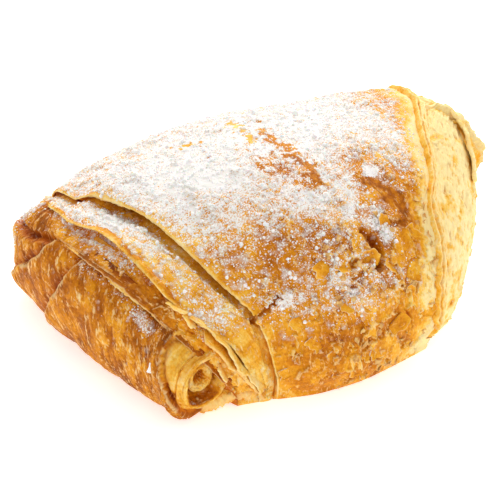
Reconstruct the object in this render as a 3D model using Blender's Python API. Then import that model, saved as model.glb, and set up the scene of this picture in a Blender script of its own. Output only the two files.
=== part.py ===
"""A sugared turnover pastry: leaves of laminated dough folded over each other and baked to one solid.

The pastry lies along X on its flat base, with its folded left end at -X and its sealed end at +X.
The loaf is one loft round X: a station is a closed loop, and a vertex is named by its x and by its
girth, which runs from 0 at the near foot (-Y) over the top to 1 at the far foot (+Y). Lips and gaps
are stations that run back under the leaf above them. The lower roll and the ragged rim are joined on with
Boolean unions, and the gap between the leaves that curl at the roll's end is cut with a difference.
"""

import bmesh
import bpy
import numpy as np

MM = 0.001
CENTRE = (0.5, 1.75, 0.0)  # the footprint's middle, in millimetres, which becomes the origin

# Driving dimensions, in millimetres
LENGTH = 133.0  # the loaf, from its folded end to its sealed end
LEFT_END = -69.0
RIGHT_END = LEFT_END + LENGTH
HEIGHT = 52.4
WIDEST_AT = 9.0  # height at which the loaf bulges furthest
TOP_EXPONENT = 2.3  # superellipse powers of the loaf's cross-section
SIDE_EXPONENT = 2.2
TUCK_ANGLE = 0.35  # how far the side turns in below its widest line, in radians
FLAP_THICKNESS = 1.9  # the top leaf at its free lip
FOLD_THICKNESS = 3.0  # the middle fold at its free lip
SMALLEST_STEP = 0.25  # spacing of stations where a gap has closed

# The lower roll, from its near end to its far end: axis x and y, half width, height
LOWER_ROLL = [(-50.4, -34.5, 9.4, 20), (-51.3, -28, 10.9, 25), (-53, -18, 12.2, 28), (-55.1, -3, 12.8, 30),
              (-56.7, 14, 12.9, 31.2), (-57.4, 30, 12.8, 33), (-57.5, 36, 12.1, 32.7), (-57, 41, 9.5, 27.5)]
ROLL_LOW = 0.42  # height of the roll's widest line, as a share of its top
ROLL_FLOOR = 0.4  # clearance under the roll
ROLL_END_BULGE = 4.0
ROLL_END_SIZES = np.array([0.3, 0.68, 0.9])
ROLL_STATIONS = 18
ROLL_POINTS = 28

# The spiral slot between the curled leaves at the roll's near end
CURL_CENTRE = (-50.3, -38.5, 10.0)
CURL_HALF_WIDTH = 7.4
CURL_HALF_HEIGHT = 8.0
CURL_TURNS = np.radians((50, 590))
CURL_TIGHTENING = 0.28  # size of the innermost turn, as a share of the outermost
CURL_HEADING = np.radians(6)
CURL_SLOT = 1.7
CURL_DEPTH = 6.0
CURL_CLEARANCE = 4.0  # how far the slot's cutter starts in front of the roll
CURL_POINTS = 26

# The ragged seam on the sealed end: points of its free edge, from its top down
RIM = [(53, 1, 45.5), (58, 0, 44.7), (62.5, -2, 41.7), (66.2, -4, 37.7), (68.2, -6, 33), (70, -8, 27.6),
       (66, -9, 21.7)]
RIM_ROOT = 9.0
RIM_ROOT_HEIGHT = 0.86  # as a share of the free edge's
RIM_THICKNESS = 3.0
RIM_RUFFLE = 1.2
RIM_ROOT_RUFFLE = 0.8  # how much of the ruffle is left at the root
RIM_WAVES = 2.5
RIM_POINTS = 16

# Mesh resolution
GIRTH_POINTS = 52
BASE_POINTS = 8
TABLE_SIZE = 160

# Shares and sizes that place the loaf's stations
END_SIZES = (0.12, 0.45, 0.75, 0.92)
GAP_SHARES = (1.0, 0.5, 0.08)
LIP_TURNS = (-0.7, 0.0, 0.7)
LOWER_BAND_SHARES = (0.05, 0.4, 0.7, 0.92)
UPPER_BAND_SHARES = (0.1, 0.4, 0.7, 1.0)
BAND_SINKS = 0.12  # how far the upper band sinks before its trench, as a share of the step
LEAF_STATIONS = 19
SEALED_SHARES = (0.2, 0.4, 0.6, 0.78, 0.92)
LEFT_CAP_AT = -48.0  # where the loaf closes, inside the fold
LIP_BULGE = 1.1
RIDGE_WIDTH = 0.8
GAP_IS_OPEN = 3.0  # depth at which a gap has its full height
GROOVE = ((1.2, -1.6), (3.0, -2.4))  # beside the top leaf's sealed edge: (distance, depth)
GROOVE_END = 4.5
SEALED_BULGE = 4.5  # how far the sealed end is rounded

# The loaf's outline, as (x, value) knots
CREST = [(-70, 22), (-64, 33), (-56, 38.8), (-48, 42.9), (-30, 48.7), (-10, HEIGHT - 0.3), (5, HEIGHT),
         (15, 52), (30, 51), (45, 49), (55, 46), (63, 40), (68, 27)]
NEAR_SIDE = [(-70, -14), (-64, -28), (-51, -37), (-43, -39), (-33, -42.5), (-18, -48.5), (-4, -50.5),
             (8, -50), (21, -48.8), (29, -45.6), (36, -40.6), (45, -32.6), (55, -23), (61, -16.5),
             (68, -6)]
FAR_SIDE = [(-70, 34), (-64, 46), (-50, 53), (-30, 54), (0, 52), (25, 45), (45, 38), (60, 28), (68, 14)]

# Where the folds cross the loaf, as (girth, x) knots
FOLD_LIP = [(0, -39.5), (0.03, -41), (0.07, -44), (0.11, -47.5), (0.18, -53), (0.24, -56.5), (0.32, -59),
            (0.4, -61), (0.5, -62.7), (0.58, -63.4), (0.65, -62.7), (0.8, -60.5), (0.92, -56.5), (1, -53)]
RIDGE = [(0, -35), (0.09, -39), (0.16, -43.5), (0.21, -49.5), (0.28, -53.5), (0.38, -55.3), (0.46, -55.6),
         (0.52, -57.3), (0.6, -59.5), (0.8, -56.5), (0.92, -52), (1, -48)]
FLAP_LIP = [(0, -30.5), (0.09, -32.7), (0.15, -34), (0.2, -35.8), (0.26, -39.8), (0.36, -43.4),
            (0.45, -45.3), (0.55, -48.7), (0.59, -50), (0.63, -54), (0.8, -51), (0.92, -46.5), (1, -42.5)]
SEALED_EDGE = [(0, 17.5), (0.15, 20), (0.2, 22.3), (0.27, 24.5), (0.32, 31.7), (0.38, 37.5), (0.42, 41.8),
               (0.5, 50.5), (0.6, 53), (0.8, 50), (1, 42)]

# How deep the gaps run and how far the leaves stand off, as (girth, value) knots
FLAP_STEP = [(0, 0.3), (0.06, 1), (0.19, 1.6), (0.24, 4.2), (0.45, 5.4), (0.56, 5), (0.62, 1.4),
             (0.8, 1.6), (0.95, 0.8), (1, 0.3)]
TRENCH_WIDTH = [(0, 0.4), (0.15, 0.7), (0.22, 1.6), (0.34, 2.6), (0.48, 3.4), (0.57, 3.6), (0.62, 1.2), (1, 0.4)]
FLAP_GAP = [(0, 0), (0.06, 0.6), (0.19, 1.2), (0.26, 5), (0.5, 8), (0.57, 8), (0.62, 1.2), (0.8, 1.5),
            (0.95, 0.4), (1, 0)]
FOLD_GAP = [(0, 0), (0.05, 1), (0.12, 4), (0.25, 8), (0.55, 9), (0.7, 5), (0.86, 1.2), (0.92, 0), (1, 0)]
RIDGE_RISE = [(0, 0.2), (0.1, 0.9), (0.2, 0.5), (0.3, 1.2), (0.45, 1.6), (0.55, 0.9), (0.7, 0.5), (1, 0.2)]


def curve_through(knots):
    """A function that runs smoothly through (position, value) knots without overshooting."""
    at, value = (np.array(column, float) for column in zip(*knots))
    step = np.diff(at)
    slope = np.diff(value) / step
    tangent = np.zeros(len(at))
    turning = slope[:-1] * slope[1:] <= 0
    mean = 2 * slope[:-1] * slope[1:] / np.where(turning, 1, slope[:-1] + slope[1:])
    tangent[1:-1] = np.where(turning, 0, mean)
    tangent[0], tangent[-1] = slope[0], slope[-1]

    def curve(position):
        inside = np.clip(position, at[0], at[-1])
        i = np.clip(np.searchsorted(at, inside) - 1, 0, len(step) - 1)
        t = (inside - at[i]) / step[i]
        start = value[i] * (1 + 2 * t) * (1 - t) ** 2 + tangent[i] * step[i] * t * (1 - t) ** 2
        end = value[i + 1] * t * t * (3 - 2 * t) + tangent[i + 1] * step[i] * t * t * (t - 1)
        return start + end

    return curve


def ramp(value, start, end):
    """0 before start, 1 after end, smooth between."""
    t = np.clip((value - start) / (end - start), 0, 1)
    return t * t * (3 - 2 * t)


crest, near_side, far_side = map(curve_through, (CREST, NEAR_SIDE, FAR_SIDE))
fold_lip, ridge_line, flap_lip, sealed_edge = map(curve_through, (FOLD_LIP, RIDGE, FLAP_LIP, SEALED_EDGE))
flap_step, trench_width, ridge_rise = map(curve_through, (FLAP_STEP, TRENCH_WIDTH, RIDGE_RISE))
flap_gap, fold_gap = map(curve_through, (FLAP_GAP, FOLD_GAP))


def loaf_section(x, girth):
    """(y, z) round the loaf's cross-section at x, from the near foot over the top to the far foot."""
    angle = np.linspace(np.pi + TUCK_ANGLE, -TUCK_ANGLE, 4 * TABLE_SIZE)
    half = (far_side(x) - near_side(x)) / 2
    across, up = np.cos(angle), np.sin(angle)
    y = near_side(x) + half * (1 + np.sign(across) * np.abs(across) ** (2 / SIDE_EXPONENT))
    arch = (crest(x) - WIDEST_AT) * np.abs(up) ** (2 / TOP_EXPONENT)
    tuck = WIDEST_AT * np.minimum(1, np.abs(up) / np.sin(TUCK_ANGLE)) ** 1.5
    z = WIDEST_AT + np.where(up > 0, arch, -tuck)
    along = np.concatenate([[0], np.cumsum(np.hypot(np.diff(y), np.diff(z)))])
    at = girth * along[-1]
    return np.interp(at, along, y), np.interp(at, along, z)


def loaf_table():
    """Points of the smooth loaf, without folds, on an even grid of x and girth."""
    rows = np.linspace(LEFT_END, RIGHT_END, TABLE_SIZE)
    girth = np.linspace(0, 1, TABLE_SIZE)
    table = np.zeros((TABLE_SIZE, TABLE_SIZE, 3))
    for row, x in enumerate(rows):
        table[row, :, 0] = x
        table[row, :, 1], table[row, :, 2] = loaf_section(x, girth)
    normal = np.cross(np.gradient(table, axis=0), np.gradient(table, axis=1))
    return table, normal / np.linalg.norm(normal, axis=2, keepdims=True)


POINTS, NORMALS = loaf_table()


def read_table(table, x, girth):
    """The table's value at any x and girth, by bilinear interpolation."""
    row = np.clip((x - LEFT_END) / LENGTH, 0, 1) * (TABLE_SIZE - 1)
    column = np.clip(girth, 0, 1) * (TABLE_SIZE - 1)
    i = np.minimum(row.astype(int), TABLE_SIZE - 2)
    j = np.minimum(column.astype(int), TABLE_SIZE - 2)
    a, b = (row - i)[..., None], (column - j)[..., None]
    low = table[i, j] * (1 - b) + table[i, j + 1] * b
    high = table[i + 1, j] * (1 - b) + table[i + 1, j + 1] * b
    return low * (1 - a) + high * a


def fold_profile(girth):
    """The loaf's stations from left to right: x, stand-off from the smooth loaf and size, each an array
    of stations by girth. A size under 1 shrinks the loop towards the middle of the end."""
    fold, ridge, flap, sealed = fold_lip(girth), ridge_line(girth), flap_lip(girth), sealed_edge(girth)
    fold_root, flap_root = fold_gap(girth), flap_gap(girth)
    open_fold, open_flap = ramp(fold_root, 0, GAP_IS_OPEN), ramp(flap_root, 0, GAP_IS_OPEN)
    step, rise = flap_step(girth), ridge_rise(girth)
    fold_under = -FOLD_THICKNESS * open_fold
    flap_under = -np.minimum(FLAP_THICKNESS, 0.6 * step)
    stations = []

    def add(x, stand_off, size=1.0):
        shape = np.ones_like(girth)
        stations.append((x * shape, stand_off * shape, size * shape))

    # The closed left end, then the underside of the middle fold and round its lip
    underside = fold + fold_root - 8 * SMALLEST_STEP
    for size in END_SIZES:
        add(LEFT_CAP_AT + (underside - LEFT_CAP_AT) * size**3, fold_under, size)
    for place, share in enumerate(GAP_SHARES):
        add(fold + fold_root * share + (place - 6) * SMALLEST_STEP, fold_under)
    for place, turn in enumerate(LIP_TURNS):
        bulge = LIP_BULGE * open_fold * np.cos(turn)
        add(fold - bulge + (place - 3) * SMALLEST_STEP, fold_under * (0.5 - 0.5 * np.sin(turn)))
    # The lower band and the thin ridge of dough on it
    for share in LOWER_BAND_SHARES:
        add(fold + (ridge - fold) * share, 0.0)
    add(ridge, rise)
    add(ridge + RIDGE_WIDTH, rise * 0.9)
    # The upper band, then the trench in front of the flap, which runs on under it
    band_start, band_end = ridge + 2 * RIDGE_WIDTH, flap - 6 * SMALLEST_STEP
    trench = band_end - trench_width(girth)
    for share in UPPER_BAND_SHARES:
        add(band_start + (trench - band_start) * share, -step * BAND_SINKS * share)
    add(trench + (band_end - trench) * 0.4, -step * 0.55)
    add(band_end, -step * 0.95)
    add(band_end + flap_root * 0.55 + SMALLEST_STEP, -step)
    add(band_end + flap_root + SMALLEST_STEP * 2, (flap_under - step) / 2)
    add(band_end + flap_root * 0.6 + SMALLEST_STEP * 3, flap_under)
    add(band_end + flap_root * 0.15 + SMALLEST_STEP * 4, flap_under)
    add(flap - 0.7 * open_flap - SMALLEST_STEP, flap_under * 0.5)
    add(flap - 0.2 * open_flap, -0.08 * step)
    # The top leaf as far as its sealed edge, the groove beside it and the sealed end
    for share in np.linspace(0, 1, LEAF_STATIONS + 1)[1:]:
        add(flap + (sealed - flap) * share, 0.0)
    for distance, depth in GROOVE:
        add(sealed + distance, depth)
    last_depth = GROOVE[-1][1]
    end_start, end_finish = sealed + GROOVE_END, RIGHT_END - SEALED_BULGE
    for share in SEALED_SHARES:
        add(end_start + (end_finish - end_start) * share, last_depth * (1 - share) ** 2)
    for size in END_SIZES[::-1]:
        add(end_finish + SEALED_BULGE * np.sqrt(1 - size**2), 0.0, size)
    return (np.array(column) for column in zip(*stations))


def loaf_grid():
    """The loaf's loops of points, stations by points round each loop."""
    girth = np.linspace(0, 1, GIRTH_POINTS)
    x, stand_off, size = fold_profile(girth)
    columns = np.broadcast_to(girth, x.shape)
    over = read_table(POINTS, x, columns) + stand_off[..., None] * read_table(NORMALS, x, columns)
    over[..., 2] = np.maximum(over[..., 2], 0)
    over[:, [0, -1], 2] = 0
    share = np.linspace(0, 1, BASE_POINTS + 2)[1:-1, None]
    base = over[:, -1, None, :] * (1 - share) + over[:, 0, None, :] * share
    loops = np.concatenate([over, base], axis=1)
    size = np.concatenate([size, np.repeat(size[:, -1:], BASE_POINTS, axis=1)], axis=1)[..., None]
    middle = loops.mean(axis=1, keepdims=True) * [1, 1, 0.8]
    return middle + (loops - middle) * size


def roll_grid(knots, stations, points):
    """Loops of a roll that lies along a curved axis. A knot holds the axis's x and y, the roll's half
    width and the height of its top; the loops stand square to the axis."""
    share = np.linspace(0, 1, len(knots))
    axis_x, axis_y, half_width, top = (curve_through(list(zip(share, column))) for column in zip(*knots))
    at = np.concatenate([[0, 0, 0], np.linspace(0, 1, stations), [1, 1, 1]])
    size = np.concatenate([ROLL_END_SIZES, np.ones(stations), ROLL_END_SIZES[::-1]])
    bulge = np.concatenate([-np.sqrt(1 - ROLL_END_SIZES**2), np.zeros(stations),
                            np.sqrt(1 - ROLL_END_SIZES[::-1] ** 2)]) * ROLL_END_BULGE
    middle = np.stack([axis_x(at), axis_y(at)], axis=1)
    ahead = np.stack([axis_x(at + 0.01), axis_y(at + 0.01)], axis=1)
    behind = np.stack([axis_x(at - 0.01), axis_y(at - 0.01)], axis=1)
    along = (ahead - behind) / np.linalg.norm(ahead - behind, axis=1, keepdims=True)
    middle = middle + along * bulge[:, None]
    square = np.stack([along[:, 1], -along[:, 0]], axis=1)
    turn = np.linspace(0, 2 * np.pi, points, endpoint=False)[None, :]
    across = np.sign(np.cos(turn)) * np.abs(np.cos(turn)) ** (2 / TOP_EXPONENT)
    up = np.sign(np.sin(turn)) * np.abs(np.sin(turn)) ** (2 / TOP_EXPONENT)
    low = (ROLL_LOW * top(at))[:, None]
    height = np.where(up > 0, top(at)[:, None] - low, low - ROLL_FLOOR)
    loops = np.zeros((len(at), points, 3))
    half = (half_width(at) * size)[:, None, None]
    loops[..., :2] = middle[:, None] + square[:, None] * half * across[..., None]
    loops[..., 2] = low + height * up * size[:, None]
    return loops


def leaf_grid(edge, root, thickness):
    """Loops of a thin leaf that hangs between two paths: its free rounded edge and its root."""
    tangent = np.gradient(edge, axis=0)
    normal = np.cross(root - edge, tangent)
    normal *= thickness / 2 / np.linalg.norm(normal, axis=1, keepdims=True)
    outward = edge - root
    outward *= thickness / 2 / np.linalg.norm(outward, axis=1, keepdims=True)
    ring = [edge + normal * 0.7, edge + outward, edge - normal * 0.7, root - normal, root + normal]
    return np.stack(ring, axis=1)


def curl_slot():
    """(edge, root) of the slot between the leaves that curl round the near end of the lower roll."""
    turn = np.linspace(*CURL_TURNS, CURL_POINTS)
    shrink = np.linspace(1, CURL_TIGHTENING, CURL_POINTS)
    side = np.array([np.cos(CURL_HEADING), np.sin(CURL_HEADING), 0.0])
    out = np.array([np.sin(CURL_HEADING), -np.cos(CURL_HEADING), 0.0])
    across = (CURL_HALF_WIDTH * shrink * np.cos(turn))[:, None] * side
    up = (CURL_HALF_HEIGHT * shrink * np.sin(turn))[:, None] * np.array([0.0, 0.0, 1.0])
    arc = np.array(CURL_CENTRE) + across + up
    return arc + out * CURL_CLEARANCE, arc - out * CURL_DEPTH


def rim_leaf():
    """(edge, root) of the ragged seam that stands out from the sealed end."""
    share = np.linspace(0, 1, RIM_POINTS)
    columns = (curve_through(list(zip(np.linspace(0, 1, len(RIM)), column))) for column in zip(*RIM))
    edge = np.stack([column(share) for column in columns], axis=1)
    ruffle = RIM_RUFFLE * np.sin(share * RIM_WAVES * 2 * np.pi)
    edge[:, 1] += ruffle
    root = edge * [1, 1, RIM_ROOT_HEIGHT] + [-RIM_ROOT, 0, 0]
    root[:, 1] -= ruffle * RIM_ROOT_RUFFLE
    return edge, root


def loft(name, loops):
    """A closed mesh object through loops of points, closed at both ends by a point."""
    stations, points, _ = loops.shape
    ends = [loops[0].mean(axis=0), loops[-1].mean(axis=0)]
    vertices = (np.concatenate([loops.reshape(-1, 3), ends]) - CENTRE) * MM
    first, last = stations * points, stations * points + 1
    faces = []
    for i in range(points):
        following = (i + 1) % points
        faces.append((first, following, i))
        start = (stations - 1) * points
        faces.append((last, start + i, start + following))
        for s in range(stations - 1):
            a, b = s * points, (s + 1) * points
            faces.append((a + i, a + following, b + following, b + i))
    mesh = bpy.data.meshes.new(name)
    mesh.from_pydata(vertices.tolist(), [], faces)
    shape = bmesh.new()
    shape.from_mesh(mesh)
    bmesh.ops.recalc_face_normals(shape, faces=shape.faces)
    shape.to_mesh(mesh)
    shape.free()
    obj = bpy.data.objects.new(name, mesh)
    bpy.context.scene.collection.objects.link(obj)
    return obj


def crust_material():
    """Golden laminated dough, egg-washed and baked."""
    material = bpy.data.materials.new("baked_crust")
    material.use_nodes = True
    shader = material.node_tree.nodes["Principled BSDF"]
    shader.inputs["Base Color"].default_value = (0.60, 0.30, 0.07, 1.0)
    shader.inputs["Roughness"].default_value = 0.55
    shader.inputs["Metallic"].default_value = 0.0
    return material


def combine(body, operation, piece):
    """Adds a piece to the body, or cuts it from it, and keeps it as a hidden guide."""
    piece.hide_render = True
    piece.display_type = "WIRE"
    step = body.modifiers.new(operation.lower() + "_" + piece.name, "BOOLEAN")
    step.operation = operation
    step.solver = "EXACT"
    step.object = piece


def build():
    for obj in list(bpy.data.objects):
        bpy.data.objects.remove(obj)
    pastry = loft("pastry", loaf_grid())
    lower_roll = loft("lower_roll", roll_grid(LOWER_ROLL, ROLL_STATIONS, ROLL_POINTS))
    rim = loft("rim", leaf_grid(*rim_leaf(), RIM_THICKNESS))
    slot = loft("curl_slot", leaf_grid(*curl_slot(), CURL_SLOT))
    combine(pastry, "UNION", lower_roll)
    combine(pastry, "UNION", rim)
    combine(pastry, "DIFFERENCE", slot)
    pastry.data.materials.append(crust_material())
    pastry.data.shade_smooth()
    pastry.data.set_sharp_from_angle(angle=0.6)


build()
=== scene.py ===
# %% [markdown]
# # A sugared turnover pastry
#
# A turnover is laminated dough, dozens of paper-thin leaves with butter between them, folded over
# itself and baked. This lesson dresses the plain solid of one: it builds the same folds again from the
# same named sizes, many times finer, and gives them flaky relief, browning and icing sugar.
#
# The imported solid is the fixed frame. Everything below is worked out in millimetres from its sizes.

# %% Load the solid and keep its box
import bmesh
import bpy
import numpy as np
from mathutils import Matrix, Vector, noise


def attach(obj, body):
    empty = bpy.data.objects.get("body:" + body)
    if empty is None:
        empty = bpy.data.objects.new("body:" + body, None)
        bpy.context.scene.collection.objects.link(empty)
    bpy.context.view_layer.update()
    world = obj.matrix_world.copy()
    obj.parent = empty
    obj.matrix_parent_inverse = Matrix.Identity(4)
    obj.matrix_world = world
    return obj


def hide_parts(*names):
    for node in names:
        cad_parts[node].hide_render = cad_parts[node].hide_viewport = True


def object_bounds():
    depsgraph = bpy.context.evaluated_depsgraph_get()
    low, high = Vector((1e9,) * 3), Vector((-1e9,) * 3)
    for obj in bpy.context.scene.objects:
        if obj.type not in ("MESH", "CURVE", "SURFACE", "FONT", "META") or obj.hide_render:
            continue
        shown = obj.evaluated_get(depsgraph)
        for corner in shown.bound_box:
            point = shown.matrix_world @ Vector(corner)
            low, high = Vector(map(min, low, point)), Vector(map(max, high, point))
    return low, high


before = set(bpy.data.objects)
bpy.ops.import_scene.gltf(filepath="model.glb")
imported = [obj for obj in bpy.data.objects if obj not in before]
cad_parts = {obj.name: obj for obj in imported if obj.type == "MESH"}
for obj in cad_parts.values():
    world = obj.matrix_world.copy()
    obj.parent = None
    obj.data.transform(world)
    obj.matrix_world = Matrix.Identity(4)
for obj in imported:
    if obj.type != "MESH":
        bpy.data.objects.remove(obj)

MM = 0.001
CENTRE = np.array([0.5, 1.75, 0.0])  # the footprint's middle in the loaf's own millimetres
cad_box = [list(corner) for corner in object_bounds()]
low, high = (np.array(corner) / MM for corner in cad_box)
print("solid, mm:", np.round(high - low, 1))

# %% [markdown]
# ## Camera, light and floor
#
# Food is photographed on a white sweep under a very large soft light, so shadows stay pale. A second
# soft light from behind on the right rakes over the crust and makes its thin layers glow. Here the
# sweep is one white sheet that curves up behind the pastry, and the large light is the world itself.

# %% A camera at a buffet guest's height
AZIMUTH, ELEVATION = np.radians((-34.0, 35.0))
DISTANCE = 0.4015
AIM = Vector((-0.0131, -0.00275, 0.0194))
away = Vector((np.sin(AZIMUTH) * np.cos(ELEVATION), -np.cos(AZIMUTH) * np.cos(ELEVATION), np.sin(ELEVATION)))


def link(obj):
    """Puts an object into the scene."""
    bpy.context.scene.collection.objects.link(obj)
    return obj


camera = link(bpy.data.objects.new("camera", bpy.data.cameras.new("camera")))
camera.data.lens = 100.0
camera.location = AIM + away * DISTANCE
camera.rotation_euler = away.to_track_quat("Z", "Y").to_euler()
camera.data.clip_start = 0.01
bpy.context.scene.camera = camera
bpy.context.scene.view_settings.view_transform = "Standard"

# %% Soft light from the back right, and a bright room
KEY_FROM = Vector((0.55, 0.50, 0.75))
KEY_SIDE = 0.8
KEY_POWER = 7.4
FILL_FROM = Vector((-0.7, -0.75, 0.5))
FILL_POWER = 0.3
ROOM = 0.76


def soft_light(name, place, side, power):
    """A square soft box that faces the pastry."""
    light = bpy.data.lights.new(name, "AREA")
    light.size = side
    light.energy = power
    box = link(bpy.data.objects.new(name, light))
    box.location = place
    box.rotation_euler = (place - AIM).to_track_quat("Z", "Y").to_euler()
    return box


soft_light("key_light", KEY_FROM, KEY_SIDE, KEY_POWER)
soft_light("fill_light", FILL_FROM, 0.6, FILL_POWER)
room = bpy.data.worlds.new("bright_room")
room.use_nodes = True
room.node_tree.nodes["Background"].inputs["Color"].default_value = (1.0, 0.99, 0.975, 1.0)
room.node_tree.nodes["Background"].inputs["Strength"].default_value = ROOM
bpy.context.scene.world = room

# %% A helper for materials
SRGB_KNEE, SRGB_LOW, SRGB_OFFSET, SRGB_POWER = 0.04045, 12.92, 0.055, 2.4


def colour(code):
    """An sRGB hex code as linear red, green, blue, alpha."""
    parts = [int(code[i:i + 2], 16) / 255 for i in (1, 3, 5)]
    return [p / SRGB_LOW if p <= SRGB_KNEE else ((p + SRGB_OFFSET) / (1 + SRGB_OFFSET)) ** SRGB_POWER
            for p in parts] + [1.0]


def add_node(tree, kind, settings=(), **links):
    """Adds a node. Settings are (socket or property, value) pairs; links name a socket of the new node
    and give the socket that feeds it."""
    node = tree.nodes.new(kind)
    for name, value in settings:
        if isinstance(name, str) and hasattr(node, name):
            setattr(node, name, value)
        else:
            node.inputs[name].default_value = value
    for name, source in links.items():
        tree.links.new(source, node.inputs[int(name[1:]) if name[1:].isdigit() else name.replace("_", " ")])
    return node


def new_material(name, roughness, ior):
    """A material with only its shader, and that shader's links still open."""
    material = bpy.data.materials.new(name)
    material.use_nodes = True
    shader = material.node_tree.nodes["Principled BSDF"]
    shader.inputs["Roughness"].default_value = roughness
    shader.inputs["IOR"].default_value = ior
    return material, material.node_tree, shader


# %% A white card that curves up behind
CARD_WIDTH, CARD_FRONT, CARD_BACK, CARD_TOP = 6.0, -2.5, 1.6, 2.0
CARD_GLOW = 0.5  # the card is lit from below, like a light table
card_material, _, card_shader = new_material("matt_white_card", 0.9, 1.45)
card_shader.inputs["Base Color"].default_value = colour("#FFFFFF")
card_shader.inputs["Emission Color"].default_value = colour("#FFFFFF")
card_shader.inputs["Emission Strength"].default_value = CARD_GLOW
bend = [(CARD_BACK + np.sin(t), 1 - np.cos(t)) for t in np.linspace(0, np.pi / 2, 12)]
side_view = [(CARD_FRONT, 0.0), *bend, (CARD_BACK + 1, CARD_TOP)]
corners = [(x, y, z) for y, z in side_view for x in (-CARD_WIDTH / 2, CARD_WIDTH / 2)]
card_mesh = bpy.data.meshes.new("card")
card_mesh.from_pydata(corners, [], [(2 * i, 2 * i + 1, 2 * i + 3, 2 * i + 2) for i in range(len(side_view) - 1)])
card_mesh.materials.append(card_material)
card_mesh.shade_smooth()
card = link(bpy.data.objects.new("card", card_mesh))
print("card:", len(card_mesh.polygons), "faces")

# %% [markdown]
# ## The loaf's form
#
# The pastry is a loft. Its outline is three curves along the loaf: the crest and the two sides. A
# place on its skin has two names: x along the loaf, and girth, which runs from 0 at the near foot over
# the top to 1 at the far foot. Knots joined by a smooth curve give every line that crosses the loaf.

# %% Curves through knots
def curve_through(knots):
    """A function that runs smoothly through (position, value) knots without overshooting."""
    at, value = (np.array(column, float) for column in zip(*knots))
    step = np.diff(at)
    slope = np.diff(value) / step
    tangent = np.zeros(len(at))
    turning = slope[:-1] * slope[1:] <= 0
    mean = 2 * slope[:-1] * slope[1:] / np.where(turning, 1, slope[:-1] + slope[1:])
    tangent[1:-1] = np.where(turning, 0, mean)
    tangent[0], tangent[-1] = slope[0], slope[-1]

    def curve(position):
        inside = np.clip(position, at[0], at[-1])
        i = np.clip(np.searchsorted(at, inside) - 1, 0, len(step) - 1)
        t = (inside - at[i]) / step[i]
        start = value[i] * (1 + 2 * t) * (1 - t) ** 2 + tangent[i] * step[i] * t * (1 - t) ** 2
        end = value[i + 1] * t * t * (3 - 2 * t) + tangent[i + 1] * step[i] * t * t * (t - 1)
        return start + end

    return curve


def ramp(value, start, end):
    """0 before start, 1 after end, smooth between."""
    t = np.clip((value - start) / (end - start), 0, 1)
    return t * t * (3 - 2 * t)


# %% The outline and the lines where the leaves end
LEFT_END, RIGHT_END, HEIGHT = -69.0, 64.0, 52.4
WIDEST_AT = 9.0
TOP_EXPONENT, SIDE_EXPONENT = 2.3, 2.2
TUCK_ANGLE = 0.35
crest = curve_through([
    (-70, 22), (-64, 33), (-56, 38.8), (-48, 42.9), (-30, 48.7), (-10, HEIGHT - 0.3), (5, HEIGHT), (15, 52),
    (30, 51), (45, 49), (55, 46), (63, 40), (68, 27)])
near_side = curve_through([
    (-70, -14), (-64, -28), (-51, -37), (-43, -39), (-33, -42.5), (-18, -48.5), (-4, -50.5), (8, -50),
    (21, -48.8), (29, -45.6), (36, -40.6), (45, -32.6), (55, -23), (61, -16.5), (68, -6)])
far_side = curve_through([
    (-70, 34), (-64, 46), (-50, 53), (-30, 54), (0, 52), (25, 45), (45, 38), (60, 28), (68, 14)])
fold_lip = curve_through([
    (0, -39.5), (0.03, -41), (0.07, -44), (0.11, -47.5), (0.18, -53), (0.24, -56.5), (0.32, -59),
    (0.4, -61), (0.5, -62.7), (0.58, -63.4), (0.65, -62.7), (0.8, -60.5), (0.92, -56.5), (1, -53)])
ridge_line = curve_through([
    (0, -35), (0.09, -39), (0.16, -43.5), (0.21, -49.5), (0.28, -53.5), (0.38, -55.3), (0.46, -55.6),
    (0.52, -57.3), (0.6, -59.5), (0.8, -56.5), (0.92, -52), (1, -48)])
flap_lip = curve_through([
    (0, -30.5), (0.09, -32.7), (0.15, -34), (0.2, -35.8), (0.26, -39.8), (0.36, -43.4), (0.45, -45.3),
    (0.55, -48.7), (0.59, -50), (0.63, -54), (0.8, -51), (0.92, -46.5), (1, -42.5)])
sealed_edge = curve_through([
    (0, 17.5), (0.15, 20), (0.2, 22.3), (0.27, 24.5), (0.32, 31.7), (0.38, 37.5), (0.42, 41.8),
    (0.5, 50.5), (0.6, 53), (0.8, 50), (1, 42)])

# %% How deep the gaps run, and how far the leaves stand off
FLAP_THICKNESS, FOLD_THICKNESS = 1.9, 3.0
flap_step = curve_through([
    (0, 0.3), (0.06, 1), (0.19, 1.6), (0.24, 2.8), (0.34, 3.2), (0.42, 3.8), (0.5, 5.4), (0.56, 5), (0.61, 1.4),
    (0.8, 1.6), (0.95, 0.8), (1, 0.3)])
trench_width = curve_through([
    (0, 0.4), (0.15, 0.7), (0.22, 1.2), (0.34, 1.6), (0.42, 2.2), (0.5, 3.6), (0.57, 3.6), (0.61, 1.2), (1, 0.4)])
flap_gap = curve_through([
    (0, 0), (0.06, 0.6), (0.19, 1.2), (0.26, 5), (0.5, 8), (0.57, 8), (0.62, 1.2), (0.8, 1.5),
    (0.95, 0.4), (1, 0)])
fold_gap = curve_through([
    (0, 0), (0.05, 1), (0.12, 4), (0.25, 8), (0.55, 9), (0.7, 5), (0.86, 1.2), (0.92, 0), (1, 0)])
ridge_rise = curve_through([
    (0, 0.2), (0.1, 0.9), (0.2, 0.5), (0.3, 1.2), (0.45, 1.6), (0.55, 0.9), (0.7, 0.5), (1, 0.2)])

# %% The smooth loaf, as a table of points and normals
TABLE_SIZE = 200


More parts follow.
